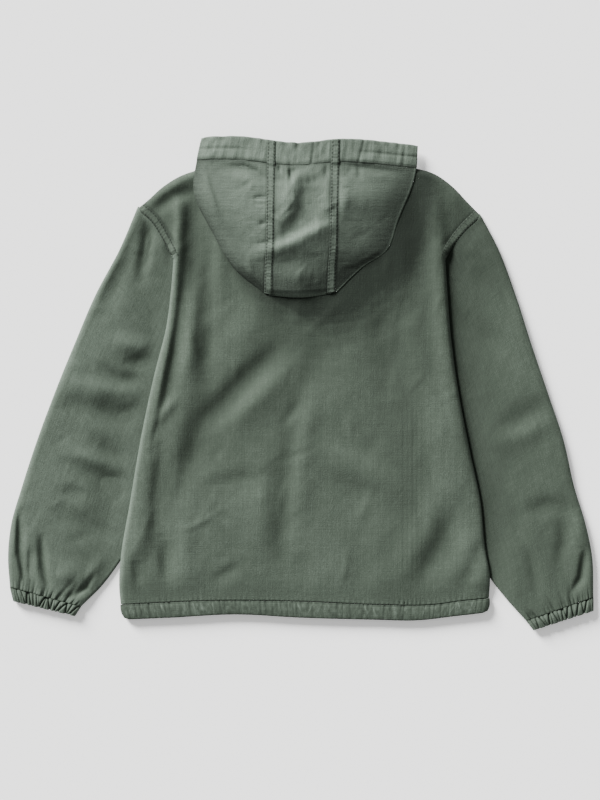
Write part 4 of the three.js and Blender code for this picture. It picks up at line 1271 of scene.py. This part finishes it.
def hood_side(which):
    outwards = -1 if which == "left" else 1
    v = hood_rows[:, None]
    seam = hood_share(seam_x(which, v) + outwards * 0.15, v)
    away = seam if which == "left" else 1 - seam
    steps = mix(np.cos(np.pi / 2 * np.linspace(0, 1, 88)), np.linspace(1, 0, 88), 0.55)
    upper_away = away * steps[None, :]
    reach = mix(0.25, 1, smooth(0.16, 0.34, v)) * away
    under_away = reach * (np.linspace(0, 1, 38)[1:] ** 1.5)[None, :]
    aways = np.concatenate([upper_away, under_away], axis=1)
    is_upper = np.arange(aways.shape[1])[None, :] < len(steps)
    u = aways if which == "left" else 1 - aways
    grid = hood_surface(u, np.broadcast_to(v, u.shape), is_upper)
    across = row_lengths(grid)
    y = grid[..., 1]
    # The hood is painted paler all over, and its upper layer painted darker where it lies lower: painted
    # light and shade.
    wear_and_shading = HOOD_PALE + 0.035 * (grid[..., 2] - HOOD_LOFT) * is_upper
    from_rim = across - across[:, len(steps) - 1:len(steps)]
    # Painted light along the right rim, which faces away from the lamp, and slight painted shade along the
    # lit left rim.
    wear_and_shading = wear_and_shading + (-0.1 if which == "left" else 1.0) * hill(from_rim, 2.8)
    # Painted gathers and painted shade beside the seam, painted shade on the hood's lower part, and the
    # painted line below the casing.
    wear_and_shading += seam_shading(y, across) - 0.3 * smooth(205, 150, y) - 0.5 * casing_shade(v)
    # The right panel is painted a little lighter, and darker below its broad fold, as painted light and
    # shade.
    if which == "right":
        wear_and_shading += 0.1 - 0.2 * smooth(268, 235, y)
    flat = np.stack([y, across], axis=-1)
    grid, flat, wear_and_shading = tuck_under(grid, flat, wear_and_shading, *HOOD_TUCK)
    return shell(f"hood_{which}_cloth", grid, hood_twill, flat, np.clip(wear_and_shading, -1, 1))


hood_left, hood_right = hood_side("left"), hood_side("right")

# %% [markdown]
# ## Centre panel of the hood
# One strip from the opening over the crown fold and back underneath to the nape. It lies a
# little lower than the seams beside it, and this is where the hood has sunk in.
# %% Hood centre
def centre_rows(v, is_upper, columns=64):
    start = hood_share(seam_x("left", v) + 0.15, v)
    end = hood_share(seam_x("right", v) - 0.15, v)
    u = mix(start, end, np.linspace(0, 1, columns)[None, :])
    return hood_surface(u, np.broadcast_to(v, u.shape), is_upper)


upper_rows = np.append(hood_rows, 1.0)[:, None]
upper = centre_rows(upper_rows, True)
under_rows = mix(NAPE_SHARE, 1, np.sin(np.pi / 2 * np.linspace(1, 0, 50)[1:]))
grid = np.concatenate([upper, centre_rows(under_rows[:, None], False)])
down = row_lengths(grid.transpose(1, 0, 2)).T
across = row_lengths(grid)
edge_away = np.minimum(across, across[:, -1:] - across)
y = grid[..., 1]
is_upper = (np.arange(len(grid)) < len(upper))[:, None]
# Painted light and shade as on the side panels, and painted light on the crown's steep wall, which faces
# away from the lamp.
centre_wear_and_shading = HOOD_PALE + 0.03 * (grid[..., 2] - HOOD_LOFT) * is_upper
centre_wear_and_shading += seam_shading(y, edge_away) - 0.3 * smooth(205, 150, y) + 0.9 * smooth(144, 137, y)
centre_wear_and_shading[:len(upper)] -= 0.5 * casing_shade(upper_rows)
flat = np.stack([across, down], axis=-1)
grid, flat, centre_wear_and_shading = tuck_under(grid, flat, centre_wear_and_shading, *HOOD_TUCK)
hood_centre = shell("hood_centre_cloth", grid, hood_twill, flat, np.clip(centre_wear_and_shading, -1, 1))

# %% [markdown]
# ## Casing of the hood
# The opening's edge is turned over and stitched down as a channel for the cord. The cord has
# gathered it into uneven upright puckers, tightest between the two seams.
# %% Hood casing
CASING_PUCKERS = 26
CASING_DEPTH = 31
CASING_COLUMNS = 420
TURNED_UNDER = np.array([22, 18, 14, 10, 7, 4, 2, 1])


def casing_grid():
    v = np.linspace(0, CASING_SHARE, 22)[:, None]
    s = np.linspace(0, 1, CASING_COLUMNS)
    under = TURNED_UNDER / HOOD_MOUTH
    u = np.concatenate([under, s, 1 - under[::-1]])[None, :]
    is_upper = np.concatenate([under * 0, s * 0 + 1, under * 0])[None, :] > 0
    grid = hood_surface(u, np.broadcast_to(v, np.broadcast(u, v).shape), is_upper)
    depth = v / CASING_SHARE
    x = grid[..., 0]
    bold = mix(0.5, 1.0, smooth(-60, -40, x)) + 0.2 * hill(x - 2, 45)
    ridges = 0.3 - slits(u, CASING_PUCKERS, (depth - 0.5) * 1.3, 131, 0.3, 0.1) * bold * 0.8
    ridges = ridges + 0.55 * noise(u * 38, depth * 2.2, 133)
    for which in ("left", "right"):
        ridges = ridges * smooth(6, 12, np.abs(x - seam_x(which, depth * 0)))
    fold = hill(depth - 0.52, 0.07) * smooth(70, 110, np.abs(x - 6))
    stitched = hill(depth - 0.95, 0.05)
    rise = 0.5 + 1.5 * ridges * smooth(1.15, 0.75, depth) - 0.9 * fold
    rise = rise - 0.7 * smooth(0.82, 0.96, depth)
    grid[..., 2] += np.where(is_upper, rise, 0)
    grid[..., 1] += np.where(is_upper, 0.6 * ridges * (1 - depth), 0)
    from_end = np.minimum(u, 1 - u) * HOOD_MOUTH
    corner = np.where(u < 0.5, 2.6, 0.8) * hill(from_end, 4.5)
    grid[..., 1] -= corner * smooth(0.3, 0, depth)
    # Puckers painted pale on their ridges and dark between, the fold and the stitched edge painted darker
    # as shade, and the opening's edge paler.
    wear_and_shading = 0.3 * ridges - 0.25 * fold - 0.6 * stitched + 0.3 * hill(depth, 0.07)
    flat = np.stack(np.broadcast_arrays(u * HOOD_MOUTH, depth * CASING_DEPTH), axis=-1)
    return grid, flat, np.clip(np.where(is_upper, wear_and_shading, 0), -1, 1)


casing_cloth, flat, wear_and_shading = casing_grid()
hood_casing = shell("hood_casing_cloth", casing_cloth, hood_twill, flat, wear_and_shading, DOUBLED)

# %% [markdown]
# ## Felled seams
# A felled seam is a strip of the panel's own cloth, folded over its raw edge and stitched
# down twice. Each strip is made from the points of the surface under it, moved out. Between
# its stitch rows the washed cloth stands in little rungs with gaps painted dark as shade, and
# each row of stitches lies in a groove with a painted dark dotted shade.
# %% Seam strips
STRIP_CLOTH = 0.7
STITCH_PITCH = 3.9
STRIP_RISE = 1.05
STRIP_DOTS = 5.4


def strip_shell(name, surface, rows, half, material, pitch, seed, over=0.0, ends=0.0):
    """A strip along `rows` of a surface(offset, row) that gives points in millimetres."""
    offsets = np.linspace(-half, half, 17)
    middle = surface(offsets, rows)
    normal = shell_normals(middle, False)
    normal *= np.sign(normal[..., 2:3])
    run = row_lengths(middle.transpose(1, 0, 2)).T
    share = np.abs(offsets)[None, :] / half
    bars = 0.15 - slits(run / pitch, 1.0, offsets[None, :] * 0.08, seed, 0.2, 0.0)
    bars = bars * (1 - smooth(0.4, 0.75, share))
    stitched = hill(share - 0.78, 0.2)
    rise = STRIP_RISE - 0.55 * smooth(0.75, 1, share) + 0.2 * bars - 0.35 * stitched + over
    rise = rise - ends * smooth(10, 0, run)
    grid = middle + normal * rise[..., None]
    uneven = 0.35 * noise(run / 9, offsets[None, :] / 9, seed + 5)
    dotted = 0.62 + 0.42 * np.cos(math.tau * (run / STRIP_DOTS + uneven))
    ladder = slits(run / STRIP_DOTS, 1.0, offsets[None, :] * 0.06, seed + 9, 0.14, 0.1)
    ladder = ladder * smooth(0.8, 0.5, share)
    # Painted shade in the gaps between the rungs, in the dotted stitch grooves, and at an armhole strip's
    # lower end, which goes under the body's fold.
    wear_and_shading = 0.06 - 0.7 * ladder - 1.7 * stitched * dotted - 0.3 * ends * smooth(14, 0, run)
    flat = np.stack([np.broadcast_to(offsets, run.shape), run], axis=-1)
    return shell(name, grid, material, flat, np.clip(wear_and_shading, -1, 1), STRIP_CLOTH, facing="up")


def on_hood(which):
    def surface(offsets, rows):
        v = rows[:, None]
        u = hood_share(seam_x(which, v) + offsets[None, :], v)
        return hood_surface(u, np.broadcast_to(v, u.shape), True)

    return surface


def on_armhole(side):
    def surface(offsets, rows):
        reach = (offsets - offsets[0])[None, :] + 0.4
        v = rows[:, None]
        share = np.broadcast_to(reach, (len(rows), len(offsets))) / BACK_WIDTH
        u = share if side is left else 1 - share
        return back_points(u, np.broadcast_to(v, u.shape))[0]

    return surface


strip_rows = np.linspace(0.003, 1 - 2.5 / hood_depth, 216)
over_casing = 1.3 * (1 - smooth(CASING_SHARE, CASING_SHARE + 0.02, strip_rows))[:, None]
hood_seams = {
    which: strip_shell(f"hood_seam_{which}_cloth", on_hood(which), strip_rows, SEAM_HALF,
                       hood_twill, 7.0, 141 + index, over_casing)
    for index, which in enumerate(("left", "right"))
}
ARMHOLE_HALF = 6.5
arm_rows = np.linspace(UNDERARM_SHARE + 0.004, 0.999, 90)
armhole_seams = {
    side.name: strip_shell(f"armhole_seam_{side.name}_cloth", on_armhole(side), arm_rows,
                           ARMHOLE_HALF, edge_twill, 4.6, 151, ends=1.2)
    for side in (left, right)
}

# %% [markdown]
# ## Stitches
# Every seam shows its thread as a row of short stitches. Geometry Nodes lays them: a path
# is cut into equal steps, one stitch stands on each, turned along the path and up from the
# cloth. A seed varies their sizes a little, so that a row is even but not mechanical.
# %% Stitch nodes
STITCH_LENGTH = 2.3
STITCH_WIDTH = 0.95


def stitch_nodes():
    """A node group that sews a path: named inputs for pitch, size, seed and thread."""
    group = bpy.data.node_groups.new("sewing", "GeometryNodeTree")
    face = group.interface
    face.new_socket("Path", in_out="INPUT", socket_type="NodeSocketGeometry")
    for label, kind in (("Pitch", "Float"), ("Length", "Float"), ("Width", "Float"),
                        ("Seed", "Int"), ("Thread", "Material")):
        face.new_socket(label, in_out="INPUT", socket_type="NodeSocket" + kind)
    face.new_socket("Stitches", in_out="OUTPUT", socket_type="NodeSocketGeometry")

    def add(kind, settings=(), **links):
        node = group.nodes.new(kind)
        for key, value in dict(settings).items():
            setattr(node, key, value)
        for label, value in links.items():
            socket = node.inputs[label.replace("_", " ")]
            if isinstance(value, bpy.types.NodeSocket):
                group.links.new(value, socket)
            else:
                socket.default_value = value
        return node

    start, end = add("NodeGroupInput"), add("NodeGroupOutput")
    path = add("GeometryNodeMeshToCurve", Mesh=start.outputs["Path"])
    even = add("GeometryNodeResampleCurve", {"mode": "LENGTH"}, Curve=path.outputs[0],
               Length=start.outputs["Pitch"])
    ball = add("GeometryNodeMeshUVSphere", Segments=8, Rings=5, Radius=0.5)
    flat_width = add("ShaderNodeMath", {"operation": "MULTIPLY"})
    group.links.new(start.outputs["Width"], flat_width.inputs[0])
    flat_width.inputs[1].default_value = 0.8
    size = add("ShaderNodeCombineXYZ", X=start.outputs["Length"], Y=start.outputs["Width"],
               Z=flat_width.outputs[0])
    stitch = add("GeometryNodeTransform", Geometry=ball.outputs["Mesh"], Scale=size.outputs[0])
    tangent = add("GeometryNodeInputTangent")
    up = add("GeometryNodeInputNamedAttribute", {"data_type": "FLOAT_VECTOR"}, Name="up")
    aim = add("FunctionNodeAlignRotationToVector", {"axis": "X"}, Vector=tangent.outputs[0])
    stand = add("FunctionNodeAlignRotationToVector", {"axis": "Z", "pivot_axis": "X"},
                Rotation=aim.outputs[0], Vector=up.outputs["Attribute"])
    wobble = add("FunctionNodeRandomValue", {"data_type": "FLOAT_VECTOR"},
                 Seed=start.outputs["Seed"])
    wobble.inputs[0].default_value = (0.86, 0.85, 0.85)
    wobble.inputs[1].default_value = (1.06, 1.12, 1.12)
    row = add("GeometryNodeInstanceOnPoints", Points=even.outputs[0],
              Instance=stitch.outputs[0], Rotation=stand.outputs[0], Scale=wobble.outputs[0])
    real = add("GeometryNodeRealizeInstances", Geometry=row.outputs[0])
    dyed = add("GeometryNodeSetMaterial", Geometry=real.outputs[0],
               Material=start.outputs["Thread"])
    group.links.new(dyed.outputs[0], end.inputs["Stitches"])
    return group


sewing = stitch_nodes()
print("sewing inputs", [item.name for item in sewing.interface.items_tree])

# %% [markdown]
# Each seam strip has two rows of stitches. The hem and the hood's casing have one row each,
# on their doubled cloth.
# %% Sew
HOOD_STITCHES = (-4.6, 4.6)
ARMHOLE_STITCHES = (1.9, 11.9)
STITCH_SINK = 0.45


def sew(name, lines, seed):
    """Stitches along lines, each a pair of point and normal arrays, as one mesh piece."""
    mesh = bpy.data.meshes.new(name + "_path")
    points = np.concatenate([line for line, _ in lines]) * MM
    ups = np.concatenate([up for _, up in lines])
    edges, first = [], 0
    for line, _ in lines:
        edges += [(first + k, first + k + 1) for k in range(len(line) - 1)]
        first += len(line)
    mesh.from_pydata(points.tolist(), edges, [])
    mesh.attributes.new("up", "FLOAT_VECTOR", "POINT").data.foreach_set("vector", ups.ravel())
    holder = bpy.data.objects.new(name + "_path", mesh)
    bpy.context.scene.collection.objects.link(holder)
    modifier = holder.modifiers.new("sewing", "NODES")
    modifier.node_group = sewing
    wanted = {"Pitch": STITCH_PITCH * MM, "Length": STITCH_LENGTH * MM,
              "Width": STITCH_WIDTH * MM, "Seed": seed, "Thread": thread}
    for item in sewing.interface.items_tree:
        if item.in_out == "INPUT" and item.name in wanted:
            modifier[item.identifier] = wanted[item.name]
    evaluated = holder.evaluated_get(bpy.context.evaluated_depsgraph_get())
    sewn = bpy.data.meshes.new_from_object(evaluated)
    bpy.data.objects.remove(holder)
    sewn.name = name
    piece = bpy.data.objects.new(name, sewn)
    bpy.context.scene.collection.objects.link(piece)
    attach(piece, "root")
    print(name, "stitch faces", len(sewn.polygons))


def row_on(surface, offset, rows, lift):
    """A stitch line along a strip's surface, with normals."""
    middle = surface(np.array([offset - 0.5, offset, offset + 0.5]), rows)
    normal = shell_normals(middle, False)
    normal = (normal * np.sign(normal[..., 2:3]))[:, 1]
    return middle[:, 1] + normal * lift, normal


stitch_lift = STRIP_RISE + STRIP_CLOTH / 2 - STITCH_SINK
sew("stitches_hood", [
    row_on(on_hood(which), offset, strip_rows, stitch_lift)
    for which in ("left", "right") for offset in HOOD_STITCHES
], 5)


def arm_row(side, reach):
    def surface(offsets, rows):
        u = np.broadcast_to((offsets[None, :]) / BACK_WIDTH, (len(rows), len(offsets)))
        u = u if side is left else 1 - u
        return back_points(u, np.broadcast_to(rows[:, None], u.shape))[0]

    return row_on(surface, reach, arm_rows, stitch_lift)


def upright(points):
    """A stitch line on level cloth, with its normals."""
    return points, np.broadcast_to((0.0, 0.0, 1.0), points.shape)


sew("stitches_armholes", [arm_row(side, reach) for side in (left, right) for reach in ARMHOLE_STITCHES], 6)
hem_s = np.linspace(0.012, 0.988, 420)
hem_line = mix(hem_seam(hem_s), hem_edge(hem_s), 0.10)
hem_z = np.full((len(hem_s), 1), HEM_LOFT + 0.45)
sew("stitches_hem", [upright(np.concatenate([hem_line, hem_z], axis=1))], 7)
sew("stitches_casing", [upright(casing_cloth[-2, 12:-12] + (0, 0, DOUBLED / 2 - 0.4))], 8)

# %% [markdown]
# ## Tying the cloth to its body
# Each piece of cloth is tied to the root body, and the solid that it stands for in the
# imported model is hidden.
# %% Declare
finish_piece(back, "back")
finish_piece(front, "front")
for side in (left, right):
    name = side.name
    finish_piece(sleeves[name], f"sleeve_{name}")
    finish_piece(cuffs[name], f"cuff_{name}")
    strip = armhole_seams[name]
    finish_piece(strip, f"armhole_seam_{name}")
    strip = hood_seams[name]
    finish_piece(strip, f"hood_seam_{name}")
finish_piece(hem, "hem_casing")
finish_piece(hood_left, "hood_left")
finish_piece(hood_right, "hood_right")
finish_piece(hood_centre, "hood_centre")
finish_piece(hood_casing, "hood_casing")
print("cloth declared for", len(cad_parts), "nodes")
